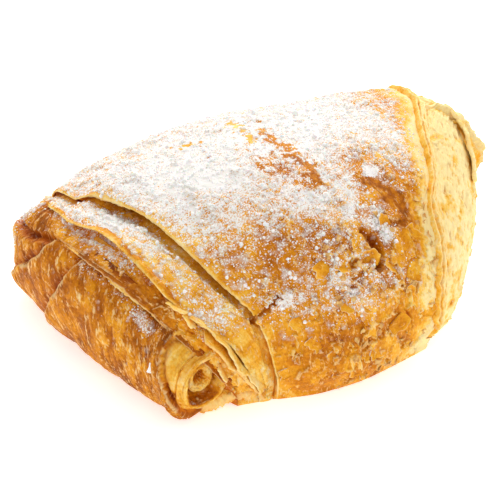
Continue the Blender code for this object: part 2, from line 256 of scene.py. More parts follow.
def loaf_section(x, girth):
    """(y, z) round the loaf's cross-section at x, from the near foot over the top to the far foot."""
    angle = np.linspace(np.pi + TUCK_ANGLE, -TUCK_ANGLE, 4 * TABLE_SIZE)
    half = (far_side(x) - near_side(x)) / 2
    across, up = np.cos(angle), np.sin(angle)
    y = near_side(x) + half * (1 + np.sign(across) * np.abs(across) ** (2 / SIDE_EXPONENT))
    arch = (crest(x) - WIDEST_AT) * np.abs(up) ** (2 / TOP_EXPONENT)
    tuck = WIDEST_AT * np.minimum(1, np.abs(up) / np.sin(TUCK_ANGLE)) ** 1.5
    z = WIDEST_AT + np.where(up > 0, arch, -tuck)
    along = np.concatenate([[0], np.cumsum(np.hypot(np.diff(y), np.diff(z)))])
    at = girth * along[-1]
    return np.interp(at, along, y), np.interp(at, along, z), along[-1]


def unit(vectors):
    """The same directions with length 1."""
    return vectors / np.maximum(np.linalg.norm(vectors, axis=-1, keepdims=True), 1e-9)


POINTS = np.zeros((TABLE_SIZE, TABLE_SIZE, 3))
even = np.linspace(0, 1, TABLE_SIZE)
for row, x in enumerate(LEFT_END + (RIGHT_END - LEFT_END) * even):
    POINTS[row, :, 0] = x
    POINTS[row, :, 1], POINTS[row, :, 2], girth_length = loaf_section(x, even)
NORMALS = unit(np.cross(np.gradient(POINTS, axis=0), np.gradient(POINTS, axis=1)))
GIRTH_MM = loaf_section(0.0, even)[2]
print("over the crest from foot to foot, mm:", round(GIRTH_MM, 1))


def read_table(table, x, girth):
    """The table's value at any x and girth, by bilinear interpolation."""
    row = np.clip((x - LEFT_END) / (RIGHT_END - LEFT_END), 0, 1) * (TABLE_SIZE - 1)
    column = np.clip(girth, 0, 1) * (TABLE_SIZE - 1)
    i = np.minimum(row.astype(int), TABLE_SIZE - 2)
    j = np.minimum(column.astype(int), TABLE_SIZE - 2)
    a, b = (row - i)[..., None], (column - j)[..., None]
    start = table[i, j] * (1 - b) + table[i, j + 1] * b
    end = table[i + 1, j] * (1 - b) + table[i + 1, j + 1] * b
    return start * (1 - a) + end * a


# %% [markdown]
# ## Relief tools
#
# Baked laminated dough has relief at every scale: a leaf swells and sinks over centimetres and blisters
# over millimetres, and where its outermost leaves were too thin to hold they have peeled off in patches
# and left broken rims. Noise gives the swell and the blisters, and the same noise cut off at one level
# gives the islands of dough that are left. Doing this to the vertices, and not only in a material, keeps
# the outline ragged too.

# %% Noise, broken layers and soft spots
def lumps(points, size, detail=2, shift=0.0):
    """Soft noise of about -1 to 1, with lumps of this size in millimetres (one number, or one per axis)."""
    spots = (points.reshape(-1, 3) / size + shift).tolist()
    values = [noise.fractal(spot, 1.0, 2.0, detail) for spot in spots]
    return np.array(values).reshape(points.shape[:-1])


def broken_layer(points, size, shift, remains, ragged=0.35):
    """(layer, rim) of an outermost leaf that has partly peeled. Layer is 1 where it remains, and rim is 1
    along its broken edge and -1 just beside it. Remains is the share left, one number or one per point."""
    field = lumps(points, size, 3, shift) + ragged * lumps(points, np.min(size) / 3.5, 2, shift + 9)
    field = field - np.quantile(field, 1 - remains) if np.ndim(remains) == 0 else field + remains
    layer = ramp(field, -0.02, 0.03)
    rim = layer * ramp(field, 0.2, 0.03) - (1 - layer) * ramp(field, -0.18, -0.03)
    return layer, rim


def patches(x, girth, places):
    """The sum of soft spots. A place is x, girth, half length, half girth and strength."""
    total = np.zeros_like(x)
    for at_x, at_girth, half_x, half_girth, strength in places:
        total += strength * np.exp(-((x - at_x) / half_x) ** 2 - ((girth - at_girth) / half_girth) ** 2)
    return total


def beside_path(u, v, path):
    """(distance to a path of (u, v) points, side of it as 1 or -1), in the units of u and v."""
    nearest, side = np.full(u.shape, 1e9), np.zeros(u.shape)
    for (u0, v0), (u1, v1) in zip(path[:-1], path[1:]):
        du, dv = u1 - u0, v1 - v0
        share = np.clip(((u - u0) * du + (v - v0) * dv) / (du * du + dv * dv), 0, 1)
        off_u, off_v = u - u0 - share * du, v - v0 - share * dv
        distance = np.hypot(off_u, off_v)
        closer = distance < nearest
        nearest = np.where(closer, distance, nearest)
        side = np.where(closer, np.sign(du * off_v - dv * off_u), side)
    return nearest, side


def normals_of(loops):
    """Normals of a loft's loops."""
    around = np.roll(loops, -1, axis=1) - np.roll(loops, 1, axis=1)
    return unit(np.cross(np.gradient(loops, axis=0), around))


# %% Making a closed piece from loops of points
def loft(name, loops, attributes, grain, material):
    """A closed smooth mesh through loops of points in millimetres, closed at both ends by a point.
    Attributes are arrays of one value per point; grain is each point's place along and across the
    dough's grain, in millimetres."""
    stations, points, _ = loops.shape
    ends = [loops[0].mean(axis=0), loops[-1].mean(axis=0)]
    vertices = (np.concatenate([loops.reshape(-1, 3), ends]) - CENTRE) * MM
    across, along = np.meshgrid(np.arange(points), np.arange(stations - 1))
    first, following = along * points + across, along * points + (across + 1) % points
    quads = np.stack([first, following, following + points, first + points], axis=-1).reshape(-1, 4)
    ring = np.arange(points)
    turned = (ring + 1) % points
    start = (stations - 1) * points
    caps = [(stations * points, b, a) for a, b in zip(ring, turned)]
    caps += [(stations * points + 1, start + a, start + b) for a, b in zip(ring, turned)]
    corner = vertices[quads] - vertices.mean(axis=0)
    if np.sum(corner[:, 0] * np.cross(corner[:, 1] - corner[:, 0], corner[:, 2] - corner[:, 0])) < 0:
        quads, caps = quads[:, ::-1], [face[::-1] for face in caps]
    mesh = bpy.data.meshes.new(name)
    mesh.from_pydata(vertices.tolist(), [], quads.tolist() + [tuple(map(int, face)) for face in caps])
    for label, values in attributes.items():
        values = np.broadcast_to(values, loops.shape[:2])
        stored = mesh.attributes.new(label, "FLOAT", "POINT")
        padded = np.concatenate([values.reshape(-1), [values[0].mean(), values[-1].mean()]])
        stored.data.foreach_set("value", padded.astype(np.float32))
    stored = mesh.attributes.new("grain", "FLOAT_VECTOR", "POINT")
    padded = np.concatenate([grain.reshape(-1, 3), grain[0, :1], grain[-1, :1]])
    stored.data.foreach_set("vector", padded.astype(np.float32).ravel())
    mesh.materials.append(material)
    mesh.shade_smooth()
    obj = link(bpy.data.objects.new(name, mesh))
    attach(obj, "root")
    print(name, 2 * len(quads) + len(caps), "triangles")
    return obj


def refine(stations, spacing):
    """Adds even steps between rough stations, so that none is wider than the spacing. Stations is an
    array of (station, value, girth)."""
    count = [max(1, int(np.ceil(gap / spacing)))
             for gap in np.abs(np.diff(stations[:, 0], axis=0)).max(axis=1)
             + np.abs(np.diff(stations[:, 1], axis=0)).max(axis=1) * 0.7]
    at = np.concatenate([[0.0], np.cumsum(count)])
    wanted = np.arange(at[-1] + 1)
    i = np.clip(np.searchsorted(at, wanted, side="right") - 1, 0, len(count) - 1)
    t = ((wanted - at[i]) / (at[i + 1] - at[i]))[:, None, None]
    return stations[i] * (1 - t) + stations[i + 1] * t


# %% [markdown]
# ## Crust
#
# The crust is egg-washed puff pastry: wheat protein and sugar that have browned. It is matt to satin,
# a little see-through at thin edges, and its colour runs with the heat it took, from cream dough over
# gold and orange to dark brown on the high and thin places. One material covers every leaf: it reads how
# baked, how thin and how sugared each place is from attributes of the mesh, and how deep it lies in a
# gap, which it paints as shade; thin edges also get a painted highlight. Flecks
# follow the grain, the way the layers were stretched, which the mesh also carries.
#
# Icing sugar is a fine white powder that clumps. Its finest dust is too small to model, so the material
# draws it twice: as a thin even film, and as specks that crowd together where there is more sugar.

# %% Crust material
BAKED = [(0.0, "#FFE6A4"), (0.18, "#FDCC5C"), (0.36, "#F2AA22"), (0.55, "#D8860A"), (0.74, "#B46200"),
         (1.0, "#7C3C00")]
SPECK_MM, CLUMP_MM, MOTTLE_MM, CRUMB_MM = 0.45, 2.2, 4.5, 0.8
FLECK_MM = (3.2, 0.9)  # along and across the grain


def crust_material(name):
    """Baked laminated dough with icing sugar on it."""
    material, tree, shader = new_material(name, 0.6, 1.45)
    here = add_node(tree, "ShaderNodeTexCoord").outputs["Object"]
    grain_place = add_node(tree, "ShaderNodeAttribute", [("attribute_name", "grain")]).outputs["Vector"]

    def read(label):
        return add_node(tree, "ShaderNodeAttribute", [("attribute_name", label)]).outputs["Fac"]

    def cloud(size, detail, rough=0.55, place=here, unit_size=MM):
        """Noise with features of this size in millimetres."""
        settings = [("Scale", 1 / (size * unit_size)), ("Detail", detail), ("Roughness", rough)]
        return add_node(tree, "ShaderNodeTexNoise", settings, Vector=place).outputs["Fac"]

    def sum_of(operation, a, b, c=None):
        """One sum: the operation on a, b and c, each a socket or a number."""
        node = add_node(tree, "ShaderNodeMath", [("operation", operation)])
        for i, value in enumerate((a, b, c)):
            if isinstance(value, (int, float)):
                node.inputs[i].default_value = value
            elif value is not None:
                tree.links.new(value, node.inputs[i])
        return node.outputs[0]

    def around_zero(value):
        return sum_of("SUBTRACT", value, 0.5)

    def between(value, start, end):
        """0 at start, 1 at end, smooth between."""
        settings = [("interpolation_type", "SMOOTHSTEP"), ("From Min", start), ("From Max", end)]
        return add_node(tree, "ShaderNodeMapRange", settings, Value=value).outputs["Result"]

    def mixed(share, a, b, kind="MIX"):
        """Colour a under colour b. Each is a socket or a hex code."""
        node = add_node(tree, "ShaderNodeMix", [("data_type", "RGBA"), ("blend_type", kind)])
        for i, value in ((0, share), (6, a), (7, b)):
            if isinstance(value, str):
                node.inputs[i].default_value = colour(value)
            elif isinstance(value, (int, float)):
                node.inputs[i].default_value = value
            else:
                tree.links.new(value, node.inputs[i])
        return node.outputs[2]

    speck, clump = cloud(SPECK_MM, 2.0, 0.6), cloud(CLUMP_MM, 3.0)
    mottle, crumb = cloud(MOTTLE_MM, 3.0), cloud(CRUMB_MM, 4.0, 0.7)
    stretched = add_node(tree, "ShaderNodeMapping", [("Scale", (1 / FLECK_MM[0], 1 / FLECK_MM[1], 1.0))],
                         Vector=grain_place).outputs["Vector"]
    fleck = between(cloud(1.0, 4.0, 0.65, stretched, 1.0), 0.56, 0.66)
    # How baked each place is, with mottling, crumb and pale flecks over it
    bake = sum_of("MULTIPLY_ADD", around_zero(mottle), 0.75, read("bake"))
    bake = sum_of("MULTIPLY_ADD", around_zero(crumb), 0.6, bake)
    bake = sum_of("MULTIPLY_ADD", sum_of("MULTIPLY", fleck, read("flecks")), -0.26, bake)
    ramp_node = add_node(tree, "ShaderNodeValToRGB", Fac=bake)
    stops = ramp_node.color_ramp.elements
    for place, code in BAKED[1:-1]:
        stops.new(place)
    for stop, (place, code) in zip(stops, BAKED):
        stop.position = place
        stop.color = colour(code)
    crust = mixed(sum_of("MULTIPLY", sum_of("MULTIPLY", fleck, read("flecks")), 0.55), ramp_node.outputs["Color"], "#F3D8A8")
    # Thin edges: paler dough with a painted highlight of light through them. Painted shadow just beside rims (edge
    # below 0) and painted shade in cracks, gaps and hollows (depth) darken and redden the crust
    edge = read("edge")
    crust = mixed(sum_of("MULTIPLY", between(edge, 0.1, 0.9), 0.55), crust, "#FFE6A8")
    crust = mixed(sum_of("MULTIPLY", between(edge, -0.1, -0.9), 0.7), crust, "#C07A2C", "MULTIPLY")
    crust = mixed(sum_of("MULTIPLY", read("depth"), 0.75), crust, "#CC8434", "MULTIPLY")
    # A thin film of sugar, then specks of it
    sugar = read("sugar")
    film = sum_of("MULTIPLY_ADD", around_zero(clump), 2.2, sugar)
    film = sum_of("MULTIPLY_ADD", around_zero(mottle), 1.2, film)
    crust = mixed(sum_of("MULTIPLY", between(film, 0.3, 1.0), 0.64), crust, "#E8E2DA")
    cover = sum_of("MULTIPLY_ADD", around_zero(speck), 2.4, sugar)
    cover = sum_of("MULTIPLY_ADD", around_zero(clump), 0.9, cover)
    specks = between(cover, 0.58, 0.69)
    dusted = mixed(sum_of("MULTIPLY", specks, 0.9), crust, "#FAF8F5")
    tree.links.new(dusted, shader.inputs["Base Color"])
    tree.links.new(sum_of("MULTIPLY_ADD", between(film, 0.1, 0.6), 0.35, 0.48), shader.inputs["Roughness"])
    # Fine relief: crumb, blistered skin, flecks and the sugar's own heaps
    height = sum_of("MULTIPLY_ADD", specks, 0.5, sum_of("MULTIPLY", crumb, 1.1))
    height = sum_of("MULTIPLY_ADD", sum_of("MULTIPLY", fleck, read("flecks")), 0.4, height)
    bump = add_node(tree, "ShaderNodeBump", [("Strength", 0.5), ("Distance", 0.4 * MM)], Height=height)
    tree.links.new(bump.outputs["Normal"], shader.inputs["Normal"])
    shader.inputs["Subsurface Weight"].default_value = 0.08
    shader.inputs["Subsurface Radius"].default_value = (1.0, 0.45, 0.12)
    shader.inputs["Subsurface Scale"].default_value = 1.2 * MM
    shader.inputs["Specular IOR Level"].default_value = 0.14
    return material


crust = crust_material("baked_puff_pastry")

# %% [markdown]
# ## The folded leaves
#
# From the folded end to the sealed end the skin is one long line of dough seen from the side: it comes
# out from under the middle fold, turns round its lip, runs over a band, dips under the thin edge of the
# next band, sinks into a trench and disappears under the top leaf. The top leaf starts inside, turns
# round its own lip and runs to the sealed edge. Each is a closed loft, because a closed leaf has a real
# thickness at its lip.

# %% Stations of the three leaves
END_SIZES = (0.12, 0.45, 0.75, 0.92)
SMALLEST_STEP = 0.25
LEFT_CAP_AT = -48.0
LIP_BULGE = 1.1
FOLD_THICKENS = 1.4  # how much thicker the middle fold's lip is over the crest
BAND_LIP = 0.55
GAP_IS_OPEN = 3.0
SEALED_BULGE = 4.5
SPACING = {"folded_layers": 0.36, "top_leaf": 0.48, "sealed_end": 0.42}
band_hollow = curve_through([
    (0, 0.1), (0.05, 0.4), (0.1, 1.1), (0.16, 1.2), (0.22, 0.6), (0.3, 0.5), (0.36, 0.7), (0.42, 1.4), (0.47, 2.7),
    (0.53, 2.9), (0.57, 2.0), (0.6, 0.6), (0.64, 0.1), (1, 0.1)])


def stations_of(girth):
    """Rough stations of each leaf: an array of (station, value, girth), whose values are x, stand-off
    from the smooth loaf, size of the loop, depth in a gap, and lip (1 on a leaf's rounded free edge)."""
    fold, ridge, flap, sealed = fold_lip(girth), ridge_line(girth), flap_lip(girth), sealed_edge(girth)
    fold_root, flap_root = np.minimum(fold_gap(girth), np.maximum(ridge - fold - 2.5, 0)), flap_gap(girth)
    open_fold, open_flap = ramp(fold_root, 0, GAP_IS_OPEN), ramp(flap_root, 0, GAP_IS_OPEN)
    step, rise, hollow = flap_step(girth), ridge_rise(girth), band_hollow(girth)
    fold_under = -(FOLD_THICKNESS + FOLD_THICKENS * ramp(girth, 0.44, 0.56)) * open_fold
    flap_under = -np.minimum(FLAP_THICKNESS, 0.6 * step)
    leaves = {"folded_layers": [], "top_leaf": [], "sealed_end": []}

    def add(leaf, x, stand_off, depth=0.0, size=1.0, lip=0.0):
        leaves[leaf].append([value * np.ones_like(girth) for value in (x, stand_off, size, depth, lip)])

    underside = fold + fold_root - 8 * SMALLEST_STEP
    for size in END_SIZES:
        add("folded_layers", LEFT_CAP_AT + (underside - LEFT_CAP_AT) * size**3, fold_under, 1.0, size)
    for place, share in enumerate((1.0, 0.5, 0.08)):
        add("folded_layers", fold + fold_root * share + (place - 6) * SMALLEST_STEP, fold_under, share**0.5)
    for place, turn in enumerate((-0.9, -0.3, 0.3, 0.9)):
        bulge = LIP_BULGE * open_fold * np.cos(turn)
        rounded = fold_under * (0.5 - 0.5 * np.sin(turn))
        add("folded_layers", fold - bulge + (place - 3) * SMALLEST_STEP, rounded,
            0.12 - 0.12 * np.sin(turn), 1.0, 1.0 * open_fold)
    overhang = 0.3 + 0.35 * hollow
    edge = ridge - overhang
    for share in (0.05, 0.4, 0.7, 1.0):
        add("folded_layers", fold + (edge - 1.2 - fold) * share, -0.5 * hollow * share**2)
    add("folded_layers", edge, -0.9 * hollow, 0.15)
    add("folded_layers", edge + 0.9 * overhang + 0.3, -hollow, 0.2 * ramp(hollow, 0.2, 1.2))
    add("folded_layers", edge + 1.1 * overhang + 0.6, rise - BAND_LIP - 0.5 * hollow, 0.35 * ramp(hollow, 0.2, 1.2))
    add("folded_layers", edge + 0.35, rise - BAND_LIP, 0.1, 1.0, 0.7)
    add("folded_layers", edge, rise - 0.5 * BAND_LIP, 0.0, 1.0, 1.0)
    add("folded_layers", edge + 0.4, rise, 0.0, 1.0, 0.8)
    add("folded_layers", edge + 1.2, rise, 0.0, 1.0, 0.0)
    band_start, band_end = ridge + 2.2, flap - 6 * SMALLEST_STEP
    trench = band_end - trench_width(girth)
    for share in (0.1, 0.4, 0.7, 1.0):
        sag = rise * 0.8 * (1 - share) ** 1.5 - step * 0.12 * share
        add("folded_layers", band_start + (trench - band_start) * share, sag)
    add("folded_layers", trench + (band_end - trench) * 0.4, -step * 0.55, 0.15 * open_flap)
    add("folded_layers", band_end, -step * 0.95, 0.3 * open_flap)
    add("folded_layers", band_end + flap_root * 0.55 + 1, -step - 0.6, 0.5)
    add("folded_layers", band_end + flap_root + 3, -step - 3, 0.7)
    for size in END_SIZES[::-1]:
        add("folded_layers", band_end + flap_root + 4 + 6 * (1 - size), -step - 4, 1.0, size)

    root = band_end + flap_root + 2 * SMALLEST_STEP
    for size in END_SIZES:
        add("top_leaf", root + 8 * (1 - size), flap_under - 0.5, 1.0, size)
    add("top_leaf", root, flap_under, 0.6)
    add("top_leaf", band_end + flap_root * 0.6 + 0.75, flap_under, 0.5)
    add("top_leaf", band_end + flap_root * 0.15 + 1.0, flap_under, 0.3)
    add("top_leaf", flap - 0.75 * open_flap - 0.2, flap_under * 0.8, 0.2, 1.0, 1.0)
    add("top_leaf", flap - 0.8 * open_flap, flap_under * 0.35, 0.05, 1.0, 1.0)
    add("top_leaf", flap - 0.2 * open_flap + 0.2, 0.0, 0.0, 1.0, 0.3)
    for share in np.linspace(0, 1, 20)[1:-1]:
        add("top_leaf", flap + (sealed - 0.6 - flap) * share, 0.0)
    for distance, drop, depth in ((-0.6, 0.0, 0.0), (0.2, -0.3, 0.1), (0.5, -1.2, 0.4), (0.0, -2.6, 1.0)):
        add("top_leaf", sealed + distance, drop, depth)
    for size in END_SIZES[::-1]:
        add("top_leaf", sealed - 2 - 5 * (1 - size), -4.0, 1.0, size)

    for size in END_SIZES:
        add("sealed_end", sealed - 5 - 8 * (1 - size), -6.0, 1.0, size)
    add("sealed_end", sealed - 1.5, -3.2, 0.8)
    add("sealed_end", sealed + 0.6, -2.0, 0.4)
    add("sealed_end", sealed + 2.0, -1.7, 0.1)
    add("sealed_end", sealed + 3.4, -2.3, 0.15)
    end_start, end_finish = sealed + 4.5, RIGHT_END - SEALED_BULGE
    for share in (0.0, 0.2, 0.4, 0.6, 0.78, 0.92):
        add("sealed_end", end_start + (end_finish - end_start) * share, -2.4 * (1 - share) ** 2)
    for size in np.sin(np.linspace(np.pi / 2, 0.12, 9)):
        add("sealed_end", end_finish + SEALED_BULGE * np.sqrt(1 - size**2), 0.0, 0.0, size)
    return {leaf: np.array(rows) for leaf, rows in leaves.items()}


def off_loaf(x, girth, stand_off):
    """The point at this stand-off from the smooth loaf."""
    girth = np.broadcast_to(girth, np.shape(x))
    return read_table(POINTS, x, girth) + np.asarray(stand_off)[..., None] * read_table(NORMALS, x, girth)


def leaf_surface(rows, girth):
    """(loops, x, girth, depth, lip, stand-off) of a leaf from its refined stations. The loops close under
    the loaf with a few points on the table."""
    x, stand_off, size, depth, lip = (rows[:, i] for i in range(5))
    columns = np.broadcast_to(girth, x.shape)
    over = off_loaf(x, columns, stand_off)
    share = np.linspace(0, 1, BASE_POINTS + 2)[1:-1, None]
    over[..., 2] = np.maximum(over[..., 2], 0)
    base = over[:, -1, None, :] * (1 - share) + over[:, 0, None, :] * share
    loops = np.concatenate([over, base], axis=1)

    def with_base(values):
        return np.concatenate([values, np.repeat(values[:, -1:], BASE_POINTS, axis=1)], axis=1)

    middle = loops.mean(axis=1, keepdims=True) * [1, 1, 0.8]
    loops = middle + (loops - middle) * with_base(size)[..., None]
    return loops, *(with_base(values) for values in (x, columns, depth, lip, stand_off))


FRONT_COLUMNS, BACK_COLUMNS, BACK_FROM = 262, 66, 0.66  # the back of the loaf is smoother
BASE_POINTS = 6
girth_line = np.concatenate([np.linspace(0, BACK_FROM, FRONT_COLUMNS)[:-1], np.linspace(BACK_FROM, 1, BACK_COLUMNS)])
leaf_rows = {leaf: refine(rows, SPACING[leaf]) for leaf, rows in stations_of(girth_line).items()}
print({leaf: rows.shape for leaf, rows in leaf_rows.items()})

# %% [markdown]
# ## Where the pastry is brown, bare and sugared
#
# A sieve shaken from above leaves sugar where the crust faces up, and it drifts against lips and into
# hollows. Handling rubs it off high spots. Each heavy or bare spot is one named place on the loaf, and
# so is each crack that opened as the dough rose.

# %% Sugar, browning and cracks by place
SKIN_BELOW = 0.7  # how far the skin lies inside the smooth loaf, so that blisters and sugar stay within its box
SUGAR_HEAVY = [(-30, 0.52, 14, 0.09, 0.3), (-27, 0.455, 5, 0.025, 0.3), (-38, 0.38, 7, 0.06, 0.1), (-8, 0.35, 6, 0.03, 0.3),
               (10, 0.55, 30, 0.12, 0.25), (6, 0.285, 3, 0.015, 0.6), (-12, 0.235, 4, 0.02, 0.2),
               (-27, 0.2, 4, 0.015, 0.5), (30, 0.42, 5, 0.03, 0.2), (-50, 0.5, 5, 0.05, 0.3), (-44, 0.2, 4, 0.04, 0.3),
               (-9, 0.17, 6, 0.03, 0.15), (14, 0.371, 2.2, 0.014, 0.9), (8, 0.252, 2.6, 0.013, 0.9),
               (1.3, 0.335, 1.8, 0.03, 0.5), (17, 0.33, 2, 0.05, 0.3)]
SUGAR_BARE = [(-9, 0.425, 6, 0.03, 0.2), (13, 0.36, 4.5, 0.07, 0.4), (8, 0.3, 4, 0.025, 0.3), (11, 0.24, 6, 0.03, 0.4), (-24, 0.27, 12, 0.05, 0.12),
              (18, 0.30, 5, 0.1, 0.3), (38, 0.52, 9, 0.15, 0.3), (2, 0.245, 3, 0.02, 0.5), (-55, 0.3, 3, 0.1, 0.2),
              (-40, 0.1, 8, 0.1, 0.3), (6, 0.12, 5, 0.05, 0.2)]
BROWN_SPOTS = [(-9, 0.425, 6, 0.03, 0.12), (12.5, 0.35, 5, 0.08, 0.22), (8, 0.29, 4, 0.03, 0.12), (-22, 0.27, 14, 0.06, 0.22),
               (6, 0.25, 6, 0.03, 0.12), (-14, 0.11, 9, 0.03, 0.12), (-3, 0.19, 6, 0.02, 0.2), (-56, 0.33, 3, 0.12, 0.15)]
BARE_STREAKS = [  # x and girth of each point, half width, bake, share of sugar lost
    ([(-3, 0.545), (-4, 0.49), (-3.5, 0.45), (-2, 0.42), (-2, 0.385)], 2.4, 0.1, 0.75),
    ([(-5, 0.6), (-7, 0.553), (-8, 0.522)], 1.2, -0.22, 1.0),
    ([(-10.5, 0.465), (-10.4, 0.44), (-9.6, 0.41), (-7.9, 0.39), (-3, 0.372)], 1.8, 0.12, 0.5),
    ([(-23.5, 0.586), (-20.5, 0.579)], 0.9, -0.15, 1.0),
    ([(12, 0.345), (15, 0.30), (16, 0.26)], 1.8, 0.2, 0.7)]
TOP_CRACKS = [  # x and girth of each point, half width and depth in millimetres
    ([(-11, 0.226), (-6, 0.229), (-3, 0.221), (0, 0.228)], 0.7, 1.3),
    ([(0.5, 0.214), (2, 0.235), (1.6, 0.25), (0.6, 0.268)], 1.6, 3.0),
    ([(-36.5, 0.178), (-33, 0.185), (-30.5, 0.195), (-28, 0.205)], 0.7, 1.2),
    ([(-1, 0.579), (0.6, 0.578)], 0.45, 0.6), ([(-22, 0.517), (-21, 0.514)], 0.5, 0.6),
    ([(5, 0.128), (7.4, 0.105), (8.3, 0.08), (7.4, 0.068)], 0.4, 0.5)]


def loaf_skin(loops, x, girth, depth, lip, stand_off):
    """(height in millimetres, attributes) of the loaf's flaky skin."""
    calm = 1 - 0.8 * ramp(depth, 0.1, 0.6)
    swell = lumps(loops, 24.0)
    warp = lumps(loops, 9.0, 2, 5.0)
    beside = x - sealed_edge(girth)
    arc = girth * GIRTH_MM
    over_leaf = ramp(beside, 1, -3)
    dome = ramp(girth, 0.4, 0.24) * ramp(x, -26, -8) * over_leaf
    flat = np.stack([x + warp, arc + 1.5 * np.roll(warp, 9, axis=1), 0.3 * loops[..., 2]], axis=-1)
    height = 0.8 * swell + 0.3 * lumps(loops, 7.0, 2, 3.0) + 0.1 * lumps(loops, 1.4, 2, 60.0) - SKIN_BELOW
    edge = np.zeros_like(x)
    # Outermost leaves that have peeled in part: large scales on the front of the dome, small ones all over
    large, large_rim = broken_layer(flat, np.array([6.5, 10.0, 10.0]), 3.0, 0.6 * dome - 0.5)
    middle, middle_rim = broken_layer(flat, np.array([4.2, 7.0, 7.0]), 21.0, 0.35 * dome - 0.35)
    small, small_rim = broken_layer(flat, np.array([2.2, 3.6, 3.6]), 43.0, 0.42)
    height += 0.45 * large + 0.3 * middle + 0.07 * small + 0.3 * np.maximum(large_rim, 0)
    # Along each broken rim the crust is paler, paler dough with a painted highlight, and just beside it a painted
    # shadow darkens it
    rims = 0.9 * large_rim + 0.7 * middle_rim + 0.15 * small_rim
    edge += np.where(rims > 0, rims, 0.45 * rims)
    # Fine pleats beside the sealed edge, and the layers of the sealed end
    near_seal = ramp(beside, -13, -2) * ramp(girth, 0.03, 0.12)
    pleats = lumps(np.stack([beside / 1.1 + 0.7 * warp, arc / 6, 0 * x], axis=-1), 1.0, 3, 80.0)
    height = height * (1 - 0.5 * near_seal) + 0.4 * near_seal * pleats
    # The pleats' crests are painted paler and their troughs darker: painted light and shade that follows their relief
    edge = edge * (1 - 0.7 * near_seal) + near_seal * np.maximum(1.1 * pleats, -0.3)
    # The sealed end is one crumbly wall of layers, deeper yellow in patches
    wall = ramp(beside, 0, 2)
    crumbly = lumps(loops, 2.2, 3, 37.0)
    height += wall * (0.3 * crumbly + 0.15 * lumps(loops, 1.0, 2, 38.0))
    # Raised crumbs are painted paler and dips darker: painted highlight and shade on the wall's crumbs
    edge += wall * 0.5 * crumbly
    # Layers seen edge on at the lips
    layers = np.sin(stand_off * 2 * np.pi / 0.62 + 2 * warp)
    streaks = lumps(np.stack([arc / 0.8, stand_off / 4, 0 * x], axis=-1), 1.0, 2, 90.0)
    height = height * (1 - 0.7 * lip) + 0.12 * lip * layers + 0.2 * lip * streaks
    edge = edge * (1 - lip) + lip * (0.35 + 0.4 * layers + 0.5 * streaks)
    # The stretched skin of the bands: fine wrinkles along them
    band = ramp(x, flap_lip(girth) + 1, flap_lip(girth) - 1) * (1 - lip)
    wrinkles = lumps(np.stack([(x - ridge_line(girth)) / 1.1 + 0.5 * warp, arc / 5, 0 * x], axis=-1), 1.0, 3, 15.0)
    height += 0.22 * band * wrinkles
    # The wrinkles' crests are painted paler and their troughs darker: painted light and shade on them
    edge += 0.5 * band * wrinkles
    cracked = np.zeros_like(x)
    for path, half_width, deep in TOP_CRACKS:
        distance, _ = beside_path(x + 0.9 * warp, arc + 1.2 * np.roll(warp, 9, axis=1),
                                  [(at, place * GIRTH_MM) for at, place in path])
        ragged = distance + 0.5 * small - 0.2 + 0.35 * lumps(loops, 1.6, 2, 31.0)
        cut = ramp(ragged, 1.25 * half_width, 0.55 * half_width) * ramp(beside, 2, -1)
        height -= deep * cut - 0.35 * ramp(distance, 3.5 * half_width, 1.4 * half_width) * (1 - cut)
        cracked = np.maximum(cracked, cut)
    facing = normals_of(loops)[..., 2]
    at_x, at_girth = x + 3 * warp, girth + 0.015 * np.roll(warp, 7, axis=0)
    sugar = 0.7 * ramp(facing, -0.4, 0.55) * (0.64 * ramp(girth, 0.05, 0.2) + 0.36 * ramp(girth, 0.25, 0.45))
    sugar += patches(at_x, at_girth, SUGAR_HEAVY) - patches(at_x, at_girth, SUGAR_BARE)
    upper_band = band * ramp(x - ridge_line(girth), 0, 1.5) * ramp(girth, 0.12, 0.22)
    sugar += 0.06 * upper_band - 0.1 * band - 0.35 * ramp(np.abs(x - fold_lip(girth)), 4, 1)
    bare_bake = np.zeros_like(x)
    for path, half_width, baked, lost in BARE_STREAKS:
        distance, _ = beside_path(x + 1.1 * warp, arc + 1.1 * np.roll(warp, 9, axis=1),
                                  [(at, place * GIRTH_MM) for at, place in path])
        rubbed = ramp(distance + 4.0 * lumps(loops, 1.5, 3, 71.0), 1.2 * half_width, 0.3 * half_width)
        sugar *= 1 - lost * rubbed
        bare_bake += baked * rubbed
    sugar *= ramp(depth, 0.45, 0.1) * ramp(beside, 3, -14) * (1 - cracked) * (1 - lip)
    bake = 0.47 + 0.1 * swell + 0.06 * warp + patches(at_x, at_girth, BROWN_SPOTS) + bare_bake
    bake += 0.15 * dome - 0.2 * large * dome - 0.1 * middle + 0.02 * small
    # Towards the sealed edge the crust is paler, partly its own pale colour and partly painted light where the
    # back-right key falls; raised crumbs are painted paler
    bake += wall * (0.28 * lumps(loops, 5.0, 3, 39.0) - 0.15 * crumbly) - 0.48 * ramp(beside, -11, -2)
    # Deep in gaps the crust is baked darker by 0.1 of the depth, a painted shade
    bake = bake + (0.06 - 0.24 * ramp(girth, 0.24, 0.1)) * band - 0.2 * upper_band + 0.1 * depth
    brown_top = ramp(stand_off, -1.5, -0.4) * ramp(x, ridge_line(girth), fold_lip(girth) + 1.5)
    bake = bake * (1 - lip) + lip * (0.12 + 0.62 * brown_top)
    # The depth attribute is painted shade: gaps, and cracks at 0.85, come out darker and redder
    skin = {"bake": bake, "sugar": np.clip(sugar, 0, 1.2), "edge": np.clip(edge, -1, 1) * calm,
            "depth": np.maximum(depth, 0.85 * cracked), "flecks": 0.45 + 0.45 * ramp(girth, 0.3, 0.1), "loose": dome * (1 - cracked)}
    return height * calm, skin


